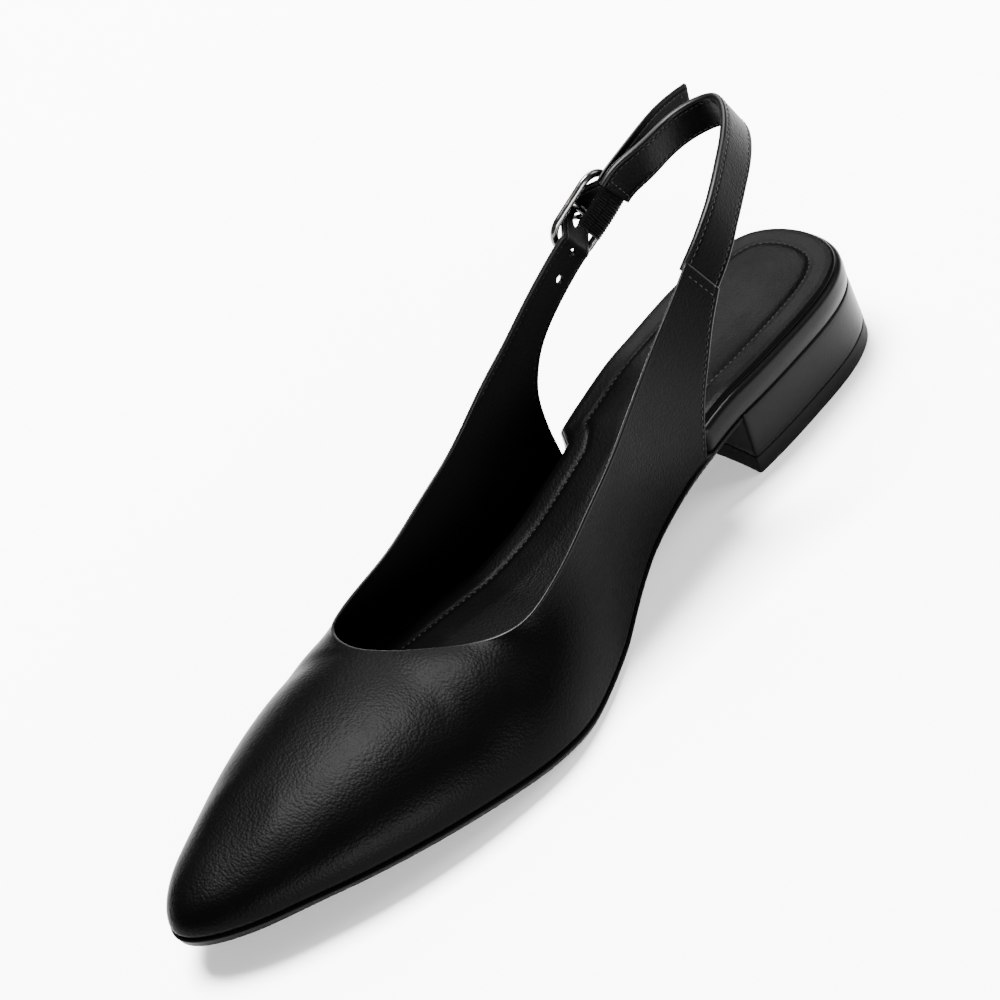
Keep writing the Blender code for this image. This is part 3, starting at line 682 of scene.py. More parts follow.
def leather(name, color, rough, grain, depth, stretch=(1.0, 1.0, 1.0),
            specular=0.012):
    """Fine grained leather: pebbles parted by thin lines, and soft patches."""
    mat, tree, shader = new_material(name, color, sum(rough) / 2, specular=specular)
    where = place(tree, stretch)
    vary(tree, shader, "Roughness", where, 55.0, *rough)
    bend = add_node(tree, "ShaderNodeTexNoise", Scale=grain * BEND_GRAIN, Detail=2.0)
    tree.links.new(where, bend.inputs["Vector"])
    shift = add_node(tree, "ShaderNodeVectorMath", operation="MULTIPLY_ADD")
    shift.inputs[1].default_value = (BEND_SHIFT / grain,) * 3
    tree.links.new(bend.outputs["Color"], shift.inputs[0])
    tree.links.new(where, shift.inputs[2])
    cells = add_node(tree, "ShaderNodeTexVoronoi", feature="SMOOTH_F1", Scale=grain)
    cells.inputs["Smoothness"].default_value = PEBBLE_SMOOTH
    fine = add_node(tree, "ShaderNodeTexNoise", Scale=grain * FINE_GRAIN, Detail=3.0)
    tree.links.new(shift.outputs["Vector"], cells.inputs["Vector"])
    tree.links.new(where, fine.inputs["Vector"])
    blend = add_node(tree, "ShaderNodeMath", operation="MULTIPLY_ADD")
    blend.inputs[1].default_value = FINE_SHARE
    tree.links.new(fine.outputs["Fac"], blend.inputs[0])
    flip = add_node(tree, "ShaderNodeMath", operation="MULTIPLY")
    flip.inputs[1].default_value = -1.0
    tree.links.new(cells.outputs["Distance"], flip.inputs[0])
    tree.links.new(flip.outputs["Value"], blend.inputs[2])
    add_bump(tree, shader, blend.outputs["Value"], depth)
    return mat


def rubber(name, color, rough, grain, depth):
    """Matt rubber with a very fine skin."""
    mat, tree, shader = new_material(name, color, sum(rough) / 2, specular=0.03)
    where = place(tree)
    vary(tree, shader, "Roughness", where, 70.0, *rough)
    noise = add_node(tree, "ShaderNodeTexNoise", Scale=grain, Detail=3.0)
    tree.links.new(where, noise.inputs["Vector"])
    add_bump(tree, shader, noise.outputs["Fac"], depth)
    return mat


def metal(name, color, rough):
    """Plated metal, its roughness varied in soft patches."""
    mat, tree, shader = new_material(name, color, sum(rough) / 2, metallic=1.0)
    where = place(tree)
    vary(tree, shader, "Roughness", where, 600.0, *rough)
    return mat


BLACK = (0.0003, 0.0003, 0.00032)
OUTER_LEATHER = leather("upper_leather", BLACK, (0.34, 0.42), 1450.0, 0.065 * MM,
                        (1.0, 0.75, 0.9))
LINING = leather("lining_leather", (0.0010, 0.0010, 0.0010), (0.45, 0.58), 900.0, 0.03 * MM)
WRAP = leather("wrap_leather", (0.0006, 0.0006, 0.0006), (0.28, 0.36), 1200.0, 0.015 * MM,
               specular=0.03)
EDGE = leather("edge_leather", BLACK, (0.3, 0.36), 1200.0, 0.01 * MM, specular=0.06)
SOCK_LEATHER = leather("sock_leather", (0.0004, 0.0004, 0.0004), (0.32, 0.40), 1300.0, 0.045 * MM)
SOLE_RUBBER = rubber("sole_rubber", (0.0012, 0.0012, 0.0012), (0.46, 0.58), 1500.0, 0.02 * MM)
ELASTIC_CLOTH = leather("elastic_cover", (0.0008, 0.0008, 0.0008), (0.42, 0.55), 1400.0, 0.04 * MM)
THREAD_BLACK = leather("thread", (0.0035, 0.0035, 0.0037), (0.4, 0.5), 3000.0, 0.03 * MM,
                       specular=0.1)
NICKEL = metal("nickel", (0.06, 0.059, 0.057), (0.16, 0.24))


# Upper

def fine_half(side, wing_rows, rib_rows, foot_column, strap, collar, ridge):
    """Fine ribs of one side of the upper, each a run of points from foot to top."""
    low = [*strap, *(scaled(row[:3]) for row in wing_rows)]
    corner = len(low)
    turn = corner + len(rib_rows)
    foot_at = [row[0] for row in rib_rows] + [row[foot_column] for row in RIDGE_ROWS]
    run = lengths(side)
    tangent = unit(np.gradient(side, axis=0))
    facing = 1.0 if side[len(side) // 2, 1] < 0 else -1.0
    inward = np.stack([-tangent[:, 1], tangent[:, 0], 0 * run], axis=1) * facing
    foot_run = np.interp(np.array(foot_at) * SOLE_LENGTH, side[:, 0], run)
    foot_run[-1] = run[-1]
    first = sample(side, foot_run[:1], run)[0]
    low.append(np.array([*first, float(feather(first[0]))]))
    back_edge = spline(low, knots=range(len(low)))
    rise = [0.0] * corner + [row[-2] for row in rib_rows] + [1.0] * len(RIDGE_ROWS)
    crown = [0.0] * corner + [row[-1] for row in rib_rows] + [1.0] * len(RIDGE_ROWS)
    index = np.arange(len(rise))
    t = np.linspace(0, 1, RIB_CURVE_POINTS)[:, None]
    ribs = []
    reach = []
    for u in np.linspace(0, index[-1], index[-1] * RIBS_PER_ROW + 1):
        turn_in = np.zeros(3)
        if u <= corner:
            foot = back_edge(u / corner)[0]
        else:
            s = monotone(index[corner:], foot_run, u)
            x, y = sample(side, [s], run)[0]
            foot = np.array([x, y, float(feather(x))])
            turn_in = sample(inward, [s], run)[0] * min(1.0, (u - corner) / TURN_ROWS)
        top = collar(u) if u <= turn else ridge(u - turn)
        across = top - foot
        up = float(monotone(index, rise, u))
        over = float(monotone(index, crown, u))
        lift = np.array([0, 0, across[2]])
        level = across - lift
        level[2] = level[0] * ridge_fall(top[0]) * min(max(u - turn + 1, 0), 1)
        p1 = foot + across * (1 - up) / 3 + lift * up * RIB_FULLNESS
        p2 = top - across * (1 - over) / 3 - level * over * RIB_FULLNESS
        rib = ((1 - t)**3 * foot + 3 * (1 - t)**2 * t * p1 + 3 * (1 - t) * t**2 * p2 + t**3 * top)
        away = lengths(rib)
        low_trim = LIP / 2 * np.clip((corner - u) / TRIM_ROWS, 0, 1)
        high_trim = LIP / 2 * np.clip((turn - u) / TRIM_ROWS, 0, 1)
        at = low_trim + (away[-1] - low_trim - high_trim) * ease_ends(RIB_STEPS)
        rib = sample(rib, at, away)
        roll = np.clip(1 - at / TURN_HEIGHT, 0, 1)[:, None] ** 2
        ribs.append(rib + turn_in * roll * TURN_DEPTH)
        reach.append(np.stack([at, away[-1] - at], axis=1))
    return np.array(ribs), np.array(reach), corner * RIBS_PER_ROW, turn * RIBS_PER_ROW


def upper_halves():
    """Fine inner and outer half of the upper's outer surface."""
    inner_side, outer_side = split_sides(OUTLINE)
    strap_low, strap_high = strap_rows()
    throat = ridge_points()
    inner_top = [scaled(row[3:]) for row in INNER_WING_ROWS]
    inner_top += [scaled(row[1:4]) for row in INNER_RIB_ROWS]
    outer_top = [*strap_high, *(scaled(row[3:]) for row in OUTER_WING_ROWS)]
    outer_top += [scaled(row[1:4]) for row in OUTER_RIB_ROWS]
    line = [*inner_top, throat[0], *outer_top[::-1]]
    collar = spline(line, knots=range(len(line)))
    ridge_curve = spline(throat, knots=range(len(throat)))
    last = len(line) - 1
    reach = len(throat) - 1

    def ridge(u):
        share = min(u / reach, 1.0)
        rest = max(0.0, (share - RIDGE_EASE) / (1 - RIDGE_EASE))
        return ridge_curve(share + (1 - RIDGE_EASE) * rest**2 * (1 - rest))[0]
    inner = fine_half(inner_side, INNER_WING_ROWS, INNER_RIB_ROWS, 3, [],
                      lambda u: collar(u / last)[0], ridge)
    outer = fine_half(outer_side, OUTER_WING_ROWS, OUTER_RIB_ROWS, 4, strap_low,
                      lambda u: collar(1 - u / last)[0], ridge)
    return inner, outer, len(strap_low)


def even_out(points, faces, free, rounds):
    """Smooth a surface without shrinking it. free is 0 where a point stays."""
    pairs = np.concatenate([faces[:, [0, 1]], faces[:, [1, 2]], faces[:, [2, 3]], faces[:, [3, 0]]])
    pairs = np.unique(np.sort(pairs, axis=1), axis=0)
    pairs = pairs[pairs[:, 0] != pairs[:, 1]]
    both = np.concatenate([pairs, pairs[:, ::-1]])
    both = both[np.argsort(both[:, 0], kind="stable")]
    owner, start = np.unique(both[:, 0], return_index=True)
    count = np.diff(np.append(start, len(both)))[:, None]
    for _ in range(rounds):
        for step in SMOOTHING_STEPS:
            mean = np.add.reduceat(points[both[:, 1]], start, axis=0) / count
            points[owner] += step * free[owner, None] * (mean - points[owner])
    return points


def mesh_normals(points, faces):
    """Normal of each point of a quad surface."""
    n = np.cross(points[faces[:, 2]] - points[faces[:, 0]],
                 points[faces[:, 3]] - points[faces[:, 1]])
    total = np.zeros_like(points)
    for k in range(4):
        for axis in range(3):
            total[:, axis] += np.bincount(faces[:, k], weights=n[:, axis], minlength=len(points))
    return unit(total)


def build_upper():
    """Shell of the upper: outer leather, lining and the round lip between them."""
    (inner, reach_i, corner_i, turn_i), (outer, reach_o, corner_o, turn_o), strap = upper_halves()
    steps = RIB_STEPS
    grid_i = np.arange(inner.shape[0] * steps).reshape(-1, steps)
    grid_o = grid_i.size + np.arange(outer.shape[0] * steps).reshape(-1, steps)
    points = np.concatenate([inner.reshape(-1, 3), outer.reshape(-1, 3)])
    reach = np.concatenate([reach_i.reshape(-1, 2), reach_o.reshape(-1, 2)])
    own_o = grid_o.copy()
    grid_o[turn_o:, -1] = grid_i[turn_i:, -1]
    grid_o[-1] = grid_i[-1]
    faces = [quads(a, b)[:, ::-1] for a, b in zip(grid_i[:-1], grid_i[1:])]
    faces += [quads(a, b) for a, b in zip(grid_o[:-1], grid_o[1:])]
    faces = np.concatenate(faces)

    free = np.zeros(len(points))
    for own, turn, start in ((grid_i, turn_i, 0), (own_o, turn_o, strap * RIBS_PER_ROW)):
        for i, row in enumerate(own):
            low = np.clip((reach[row, 0] - HELD_FOOT) / HELD_FADE, 0, 1)
            high = np.clip((reach[row, 1] - HELD_TOP) / HELD_FADE, 0, 1) if i < turn else 1.0
            along = np.clip((i - start) / HELD_RIBS, 0, 1)
            free[row] = low * high * along
    nose = np.linalg.norm(points - points[grid_i[-1, -1]], axis=1)
    free *= np.clip((nose - NOSE_REST) / (2 * NOSE_REST), 0, 1)
    points = even_out(points, faces, free, SMOOTHING_ROUNDS)
    points = ease_nose(points, points[grid_i[-1, -1]])
    before, last = points[grid_i[turn_i - 2:turn_i, -1]]
    first, after = points[own_o[turn_o - 1:turn_o - 3:-1, -1]]
    points[grid_i[turn_i, -1]] = (4 * (last + first) - before - after) / 6
    normals = mesh_normals(points, faces)
    points, lines = add_seams(points, normals, reach, grid_i, own_o, corner_i, corner_o, strap)
    lining = points - normals * LIP

    loop = np.concatenate([grid_i[0], grid_i[1:turn_i, -1], grid_o[turn_o:0:-1, -1],
                           grid_o[0, ::-1], grid_o[1:, 0], grid_i[-2:0:-1, 0]])
    edge = points[loop]
    run = unit(np.roll(edge, -1, axis=0) - np.roll(edge, 1, axis=0))
    out = unit(np.cross(run, normals[loop]))
    middle = steps // 2
    if np.dot(out[middle], points[grid_i[0, middle]] - points[grid_i[1, middle]]) < 0:
        out = -out
    verts = [points, lining]
    rows = [loop]
    arcs = 6
    base = 2 * len(points)
    for k in range(1, arcs):
        angle = np.pi * k / arcs
        verts.append(edge + normals[loop] * LIP / 2 * (np.cos(angle) - 1)
                     + out * LIP / 2 * np.sin(angle))
        rows.append(base + np.arange(len(loop)))
        base += len(loop)
    rows.append(loop + len(points))
    rim = [band(a, b) for a, b in zip(rows[:-1], rows[1:])]
    shell = np.concatenate([faces, np.concatenate(rim), faces[:, ::-1] + len(points)])
    verts = np.concatenate(verts)
    used = np.unique(shell)
    number = np.zeros(len(verts), int)
    number[used] = np.arange(len(used))
    shell = number[shell]
    keep = np.array([len(set(f)) > 2 for f in shell.tolist()])
    part_of = np.repeat([0, 2, 1], [len(faces), len(shell) - 2 * len(faces), len(faces)])
    clean = [list(dict.fromkeys(f)) for f in shell[keep].tolist()]
    obj = new_piece("upper_shell", verts[used], clean, OUTER_LEATHER, "leather", "upper", sharp=60)
    obj.data.materials.append(LINING)
    obj.data.materials.append(EDGE)
    obj.data.polygons.foreach_set("material_index", part_of[keep].astype(np.int32))
    punch(obj)
    return lines


def add_seams(points, normals, reach, grid_i, grid_o, corner_i, corner_o, strap):
    """Press the stitched grooves into the surface and return the stitch lines."""
    depth = press_creases(points, normals)

    def press(rows, distance):
        hollow = GROOVE_DEPTH * np.exp(-((distance - STITCH_EDGE) / GROOVE_WIDTH) ** 2)
        depth[rows] = np.maximum(depth[rows], hollow)
    top_end = int((strap + TOP_SEAM_ROWS) * RIBS_PER_ROW)
    from_tip = lengths(points[grid_o[:, RIB_STEPS // 2]])
    from_seam = lengths(points[grid_i[:, RIB_STEPS // 2]])
    lines = []

    def line(grid, first, last, column):
        path = []
        for i in range(first, last):
            row = grid[i]
            order = np.argsort(reach[row, column])
            at = reach[row, column][order]
            both = np.column_stack([points[row], normals[row]])[order]
            path.append([np.interp(STITCH_EDGE, at, value) for value in both.T])
        lines.append(np.array(path))
    for row in [*grid_o[:corner_o], *grid_i[:corner_i]]:
        press(row, reach[row, 0])
    for row in grid_o[:top_end]:
        press(row, reach[row, 1])
    for k in range(RIB_STEPS):
        press(grid_o[:END_RIBS, k], from_tip[:END_RIBS])
        press(grid_i[:END_RIBS, k], from_seam[:END_RIBS])
    start = int(np.searchsorted(from_tip, STITCH_EDGE))
    line(grid_o, start, corner_o, 0)
    line(grid_o, start, top_end, 1)
    seam = int(np.searchsorted(from_seam, STITCH_EDGE))
    line(grid_i, seam, corner_i, 0)
    for grid, at in ((grid_o, start), (grid_i, seam)):
        row = grid[at]
        ok = (reach[row, 0] > STITCH_EDGE) & (reach[row, 1] > STITCH_EDGE)
        lines.append(np.column_stack([points[row], normals[row]])[ok])
    return points - normals * depth[:, None], lines


def ease_nose(points, pole):
    """Lay the top of the nose on one smooth surface round the ridge's end."""
    away = np.linalg.norm(points[:, :2] - pole[:2], axis=1) / NOSE_REACH
    near = (away < 1) & (points[:, 2] > pole[2] - NOSE_REACH / 2)
    x, y = ((points[near, :2] - pole[:2]) / NOSE_REACH).T
    terms = np.stack([x**i * y**j for i in range(5) for j in range(5 - i)], axis=1)
    share, *_ = np.linalg.lstsq(terms, points[near, 2], rcond=None)
    blend = np.clip(2 * (1 - away[near]), 0, 1)
    blend = blend * blend * (3 - 2 * blend)
    points[near, 2] += blend * (terms @ share - points[near, 2])
    return points


def press_creases(points, normals):
    """How deep the listed creases lie at each point of the surface."""
    depth = np.zeros(len(points))
    plan = points[:, :2] + ORIGIN[:2]
    facing_up = np.clip(normals[:, 2] / CREASE_TILT, 0, 1)
    for *ends, deep, wide in CREASE_ROWS:
        start, end = np.reshape(ends, (2, 2)) * MM
        run = end - start
        share = (plan - start) @ run / (run @ run)
        off = np.linalg.norm(plan - start - share[:, None] * run, axis=1) / (wide * MM)
        window = np.sin(np.pi * np.clip(share, 0, 1)) ** 2 * facing_up
        depth += deep * MM * window * (np.exp(-off**2) - CREASE_SWELL * np.exp(-(off - 2) ** 2))
    return depth


def punch(obj):
    """Round holes along the strap, one of them under the prong."""
    cutters = []
    _, _, _, normal = buckle_frame_axes()
    turn = Vector(normal).to_track_quat("Z", "Y").to_matrix().to_4x4()
    for shift in (-2, -1, 0, 1):
        size = HOLE_DIAMETER if shift else PRONG_HOLE
        middle = at_buckle(PRONG_AT + shift * HOLE_PITCH, 0.0, -HOLE_SAG * shift**2) + ORIGIN
        bm = bmesh.new()
        bmesh.ops.create_cone(bm, cap_ends=True, segments=32, radius1=size / 2,
                              radius2=size / 2, depth=STRAP_WIDTH * 0.8)
        bmesh.ops.transform(bm, matrix=Matrix.Translation(Vector(middle)) @ turn, verts=bm.verts)
        mesh = bpy.data.meshes.new("hole")
        bm.to_mesh(mesh)
        bm.free()
        cutter = bpy.data.objects.new("hole", mesh)
        bpy.context.scene.collection.objects.link(cutter)
        cut = obj.modifiers.new("hole", "BOOLEAN")
        cut.object = cutter
        cut.operation = "DIFFERENCE"
        cut.solver = "EXACT"
        cutters.append(cutter)
    graph = bpy.context.evaluated_depsgraph_get()
    mesh = bpy.data.meshes.new_from_object(obj.evaluated_get(graph))
    obj.modifiers.clear()
    obj.data = mesh
    mesh.shade_smooth()
    mesh.set_sharp_from_angle(angle=math.radians(50))
    for cutter in cutters:
        bpy.data.objects.remove(cutter)


def stitches(name, lines, raised=THREAD_RAISED, both=0.0):
    """Short rounded threads along lines of points with their normals.

    both is the thickness to the inner face, where that face is stitched too.
    """
    sides = 6
    rings = 5
    verts = []
    faces = []
    around = np.linspace(0, 2 * np.pi, sides, endpoint=False)
    along = np.linspace(-1, 1, rings)
    for path in lines:
        run = lengths(path[:, :3])
        count = max(1, int(run[-1] / STITCH_PITCH))
        for n in range(count):
            centre = (n + 0.5) * run[-1] / count
            for flip in (1, -1) if both else (1,):
                at = centre + along * STITCH_LENGTH / 2
                p = sample(path, np.clip(at, 0, run[-1]), run)
                normal = unit(p[:, 3:]) * flip
                axis = unit(np.gradient(p[:, :3], axis=0))
                side = np.cross(axis, normal)
                heave = (raised - along**4 * THREAD * THREAD_SINK)[:, None]
                middle = p[:, :3] + normal * (heave + (both if flip < 0 else 0.0))
                girth = THREAD / 2 * (1 - THREAD_TAPER * along**4)
                base = len(verts)
                for r in range(rings):
                    for angle in around:
                        verts.append(middle[r] + girth[r] * (side[r] * np.cos(angle)
                                                             + normal[r] * np.sin(angle)))
                for r in range(rings - 1):
                    for k in range(sides):
                        a = base + r * sides + k
                        b = base + r * sides + (k + 1) % sides
                        faces.append((a, b, b + sides, a + sides))
                faces.append(tuple(range(base, base + sides)))
                faces.append(tuple(range(base + (rings - 1) * sides, base + rings * sides)))
    return new_piece(name, verts, faces, THREAD_BLACK, "leather", sharp=80)


# Straps

def swept(name, line, across, out, profile, material, slot, node):
    """Strap swept along a line; profile gives width and depth of its section."""
    wide = across[:, None, :] * profile[None, :, 0, None]
    deep = out[:, None, :] * profile[None, :, 1, None]
    grid = line[:, None, :] + wide + deep
    return new_piece(name, *skin(grid), material, slot, node, sharp=60)


def strap_section(width, thick):
    """Section of a doubled strap with round edges and a groove by each edge."""
    half = width / 2 - STRAP_EDGE
    w = np.linspace(-half, half, FACE_POINTS)
    hollow = GROOVE_DEPTH * np.exp(-((width / 2 - np.abs(w) - STITCH_EDGE) / GROOVE_WIDTH) ** 2)
    top = np.column_stack([w, -hollow])
    low = np.column_stack([w[::-1], -thick + hollow[::-1]])
    turn = np.linspace(np.pi / 2, -np.pi / 2, 9)[1:-1]
    right = np.column_stack([half + STRAP_EDGE * np.cos(turn),
                             -thick / 2 + thick / 2 * np.sin(turn)])
    left = np.column_stack([-right[::-1, 0], right[::-1, 1]])
    return np.vstack([top, right, low, left])


def sling_path():
    """Line, width direction and outward normal from the buckle to the seam."""
    points, lean = strap_points(SLING_ROWS)
    under = UNDER_BAR - WALL - 3 * FIT
    lead = [at_buckle(shift * BAR_REACH, under, ELASTIC_LIFT) for shift in (-0.1, 0.5, 1.1)]
    seam_low = scaled(INNER_WING_ROWS[0][:3])
    seam_high = scaled(INNER_WING_ROWS[0][3:])
    points = np.vstack([lead, points, [(seam_low + seam_high) / 2]])
    lean = np.concatenate([np.full(len(lead), BUCKLE_LEAN), lean, lean[-1:]])
    path = spline(np.column_stack([points, lean]))(np.linspace(0, 1, 481))
    run = lengths(path[:, :3])
    _, across, _ = lean_frame(path[:, :3], path[:, 3])
    to_seam = np.clip((run - run[-1]) / SEAM_BLEND + 1, 0, 1)[:, None]
    across = across * STRAP_WIDTH * (1 - to_seam) + (seam_high - seam_low) * to_seam
    out = unit(np.cross(across, np.gradient(path[:, :3], axis=0)))
    return np.column_stack([path[:, :3], across, out]), run


def build_sling():
    """Doubled leather sling and its stitches."""
    path, run = sling_path()
    at = np.linspace(ELASTIC_LENGTH + FIT, run[-1] + SEAM_LAP, SLING_POINTS)
    part = sample(path, np.minimum(at, run[-1]), run)
    ahead = unit(path[-1:, :3] - path[-3:-2, :3])
    part[:, :3] += ahead * np.maximum(at - run[-1], 0)[:, None]
    sunk = SEAM_STEP * np.clip((at - run[-1]) / SEAM_RAMP + 1, 0, 1) ** 2
    part[:, :3] -= part[:, 6:] * sunk[:, None]
    section = strap_section(STRAP_WIDTH, STRAP_THICKNESS)
    section[:, 0] /= STRAP_WIDTH
    sling = swept("sling_leather", part[:, :3], part[:, 3:6], part[:, 6:], section, OUTER_LEATHER,
                  "leather", "sling_strap")
    sling.data.materials.append(EDGE)
    column = np.arange(len(sling.data.polygons)) % (len(section) // 2)
    sling.data.polygons.foreach_set("material_index", (column >= FACE_POINTS - 1).astype(np.int32))
    lines = []
    inset = 0.5 - STITCH_EDGE / STRAP_WIDTH
    for sign in (-1, 1):
        lines.append(np.column_stack([part[:, :3] + part[:, 3:6] * sign * inset, part[:, 6:]]))
    end = part[SLING_END_RING]
    cross = np.linspace(-inset, inset, 12)[:, None]
    lines.append(np.column_stack([end[:3] + end[3:6] * cross, np.tile(end[6:], (len(cross), 1))]))
    stitches("sling_stitches", lines, both=STRAP_THICKNESS)


def build_elastic():
    """Gathered elastic between the buckle's bar and the sling."""
    path, run = sling_path()
    at = np.linspace(ELASTIC_FRONT, ELASTIC_LENGTH + ELASTIC_LAP, ELASTIC_RINGS)
    part = sample(path, np.clip(at, 0, None), run)
    part[:, :3] += (path[1, :3] - path[0, :3]) / (run[1] - run[0]) * np.minimum(at, 0)[:, None]
    width = 40
    w = np.linspace(-0.5, 0.5, width)
    phase = at / (ELASTIC_LENGTH * 0.95) * PLEATS * 2 * np.pi
    grid = []
    for i, row in enumerate(part):
        wander = 0.8 * np.sin(w * 9 + np.floor(phase[i] / (2 * np.pi)) * 1.7)
        pleat = 0.5 + 0.5 * np.cos(phase[i] + wander)
        seam = PLEAT_SEAM * np.exp(-((w - 0.08) / 0.035) ** 2)
        rim = 1 - np.abs(2 * w) ** 8
        size = ELASTIC_WIDTH * (1 + 0.03 * np.cos(phase[i]))
        high = (PLEAT_RISE * pleat - seam) * rim - ELASTIC_ROUND * (1 - rim)
        low = -(ELASTIC_THICKNESS * 0.75 + (PLEAT_RISE * (1 - pleat) - seam) * rim)
        low += ELASTIC_ROUND * (1 - rim)
        across = unit(row[3:6]) * size
        face = row[:3] + across * w[:, None] + row[6:] * (high - ELASTIC_SUNK)[:, None]
        back = row[:3] + across * w[::-1, None] + row[6:] * low[::-1, None]
        grid.append(np.vstack([face, back]))
    new_piece("elastic_gathers", *skin(np.array(grid)), ELASTIC_CLOTH, "elastic", "elastic",
              sharp=80)


# Buckle

def tube(name, points, radius, material, slot, node=None, closed=False, sides=20):
    """Round wire along points, its ends rounded off when it isn't closed."""
    points = np.asarray(points)
    n = len(points)
    if closed:
        run = unit(np.roll(points, -1, axis=0) - np.roll(points, 1, axis=0))
    else:
        run = unit(np.gradient(points, axis=0))
    _, _, _, normal = buckle_frame_axes()
    side = unit(np.cross(run, normal))
    up = np.cross(side, run)
    size = np.full(n, radius)
    if not closed:
        away = lengths(points)
        near = np.minimum(away, away[-1] - away) / radius
        size = radius * np.sqrt(np.clip(1 - (1 - np.clip(near, 0, 1)) ** 2, 0.02, 1))
    angle = np.linspace(0, 2 * np.pi, sides, endpoint=False)
    ring = (side[:, None] * np.cos(angle)[None, :, None]
            + up[:, None] * np.sin(angle)[None, :, None])
    grid = points[:, None] + ring * size[:, None, None]
    verts, faces = skin(grid)
    if closed:
        number = np.arange(n * sides)
        faces[-2:] = band(number[-sides:], number[:sides]).tolist()
    return new_piece(name, verts, faces, material, slot, node, sharp=80)


def build_buckle():
    """Round cornered frame, its middle bar and the prong."""
    reach = (BUCKLE_LENGTH - BUCKLE_WIRE) / 2
    rise = (BUCKLE_WIDTH - BUCKLE_WIRE) / 2
    ring = []
    for turn, (sx, sy) in enumerate(((1, 1), (-1, 1), (-1, -1), (1, -1))):
        for angle in np.radians(np.linspace(90 * turn, 90 * turn + 90, 18)):
            back = sx * (reach - BUCKLE_CORNER) + BUCKLE_CORNER * np.cos(angle)
            up = sy * (rise - BUCKLE_CORNER) + BUCKLE_CORNER * np.sin(angle)
            ring.append(at_buckle(back, 0.0, up))
    ring = np.array(ring)
    loop = np.vstack([ring, ring[:1]])
    run = lengths(loop)
    ring = sample(loop, np.linspace(0, run[-1], 160, endpoint=False), run)
    tube("buckle_wire", ring, BUCKLE_WIRE / 2, NICKEL, "plated_metal", "buckle_frame", closed=True)
    bow = [(-1.0, 0.0), (-0.8, -BAR_DROP * 0.75), (-0.6, -BAR_DROP), (0.6, -BAR_DROP),
           (0.8, -BAR_DROP * 0.75), (1.0, 0.0)]
    bar = spline([at_buckle(0.0, out, up * rise) for up, out in bow])(np.linspace(0, 1, 40))
    tube("buckle_bar", bar, BAR_WIRE / 2, NICKEL, "plated_metal")
    round_bar = BAR_WIRE / 2 + FIT + PRONG_WIRE / 2
    rest = BUCKLE_WIRE / 2 + FIT + PRONG_WIRE / 2
    path = [(round_bar * 0.7, -BAR_DROP - round_bar * 0.7), (round_bar, -BAR_DROP),
            (round_bar * 0.7, -BAR_DROP + round_bar * 0.7), (0.0, -BAR_DROP + round_bar),
            (PRONG_AT * 0.75, OVER_BAR - WALL * 0.6),
            (PRONG_AT * 1.25, OVER_BAR + PRONG_WIRE * 0.9),
            (-BAR_REACH * 0.6, rest + 0.6 * PRONG_WIRE), (-BAR_REACH, rest),
            (-BAR_REACH - BUCKLE_WIRE * 0.7, rest - 0.2 * PRONG_WIRE)]
    route = spline([at_buckle(back, out) for back, out in path])(np.linspace(0, 1, 90))
    tube("prong", route, PRONG_WIRE / 2, NICKEL, "plated_metal", "buckle_prong", sides=16)


# Bottom

def quarter(radius, steps):
    """Insets and drops round an edge, from its side to its flat face."""
    return [(radius * (1 - math.cos(a)), radius * (1 - math.sin(a)))
            for a in np.linspace(0, np.pi / 2, steps)]


def closed_ring(curve, count):
    """Closed plan curve resampled evenly, from its rearmost point round the inner side."""
    inner, outer = split_sides(curve)
    loop = np.vstack([inner, outer[::-1][1:]])
    run = lengths(loop)
    return sample(loop, np.linspace(0, run[-1], count, endpoint=False), run)


def stacked(name, rings, material, slot, node, low="grid", high="grid", across=24, shape=None,
            shape_low=None):
    """Body from closed rings, bottom to top, each an array of points.

    A grid cap joins the two sides of a ring; shape and shape_low move the
    points of the top and the bottom cap.
    """
    count = len(rings[0])
    verts = [np.concatenate(rings)]
    faces = []
    row = np.arange(len(rings) * count).reshape(len(rings), count)
    for a, b in zip(row[:-1], row[1:]):
        faces += np.stack([a, np.roll(a, -1), np.roll(b, -1), b], axis=1).tolist()
    base = len(rings) * count
    half = count // 2
    for kind, index, mould in ((low, 0, shape_low), (high, len(rings) - 1, shape)):
        if kind == "flat":
            faces.append(row[index].tolist())
            continue
        ring = rings[index]
        share = ease_ends(across + 1)[1:-1]
        inner = ring[1:half]
        outer = ring[:half:-1]
        fill = inner[:, None] * (1 - share)[None, :, None] + outer[:, None] * share[None, :, None]
        if mould:
            fill = mould(fill)
        verts.append(fill.reshape(-1, 3))
        grid = np.column_stack([row[index, 1:half],
                                base + np.arange(fill[..., 0].size).reshape(fill.shape[:2]),
                                row[index, :half:-1]])
        base += fill.shape[0] * fill.shape[1]
        for a, b in zip(grid[:-1], grid[1:]):
            faces += quads(a, b).tolist()
        for end, tip in ((grid[0], row[index, 0]), (grid[-1], row[index, half])):
            faces += [[int(tip), int(a), int(b)] for a, b in zip(end[:-1], end[1:])]
    return new_piece(name, np.concatenate(verts), faces, material, slot, node, sharp=50)


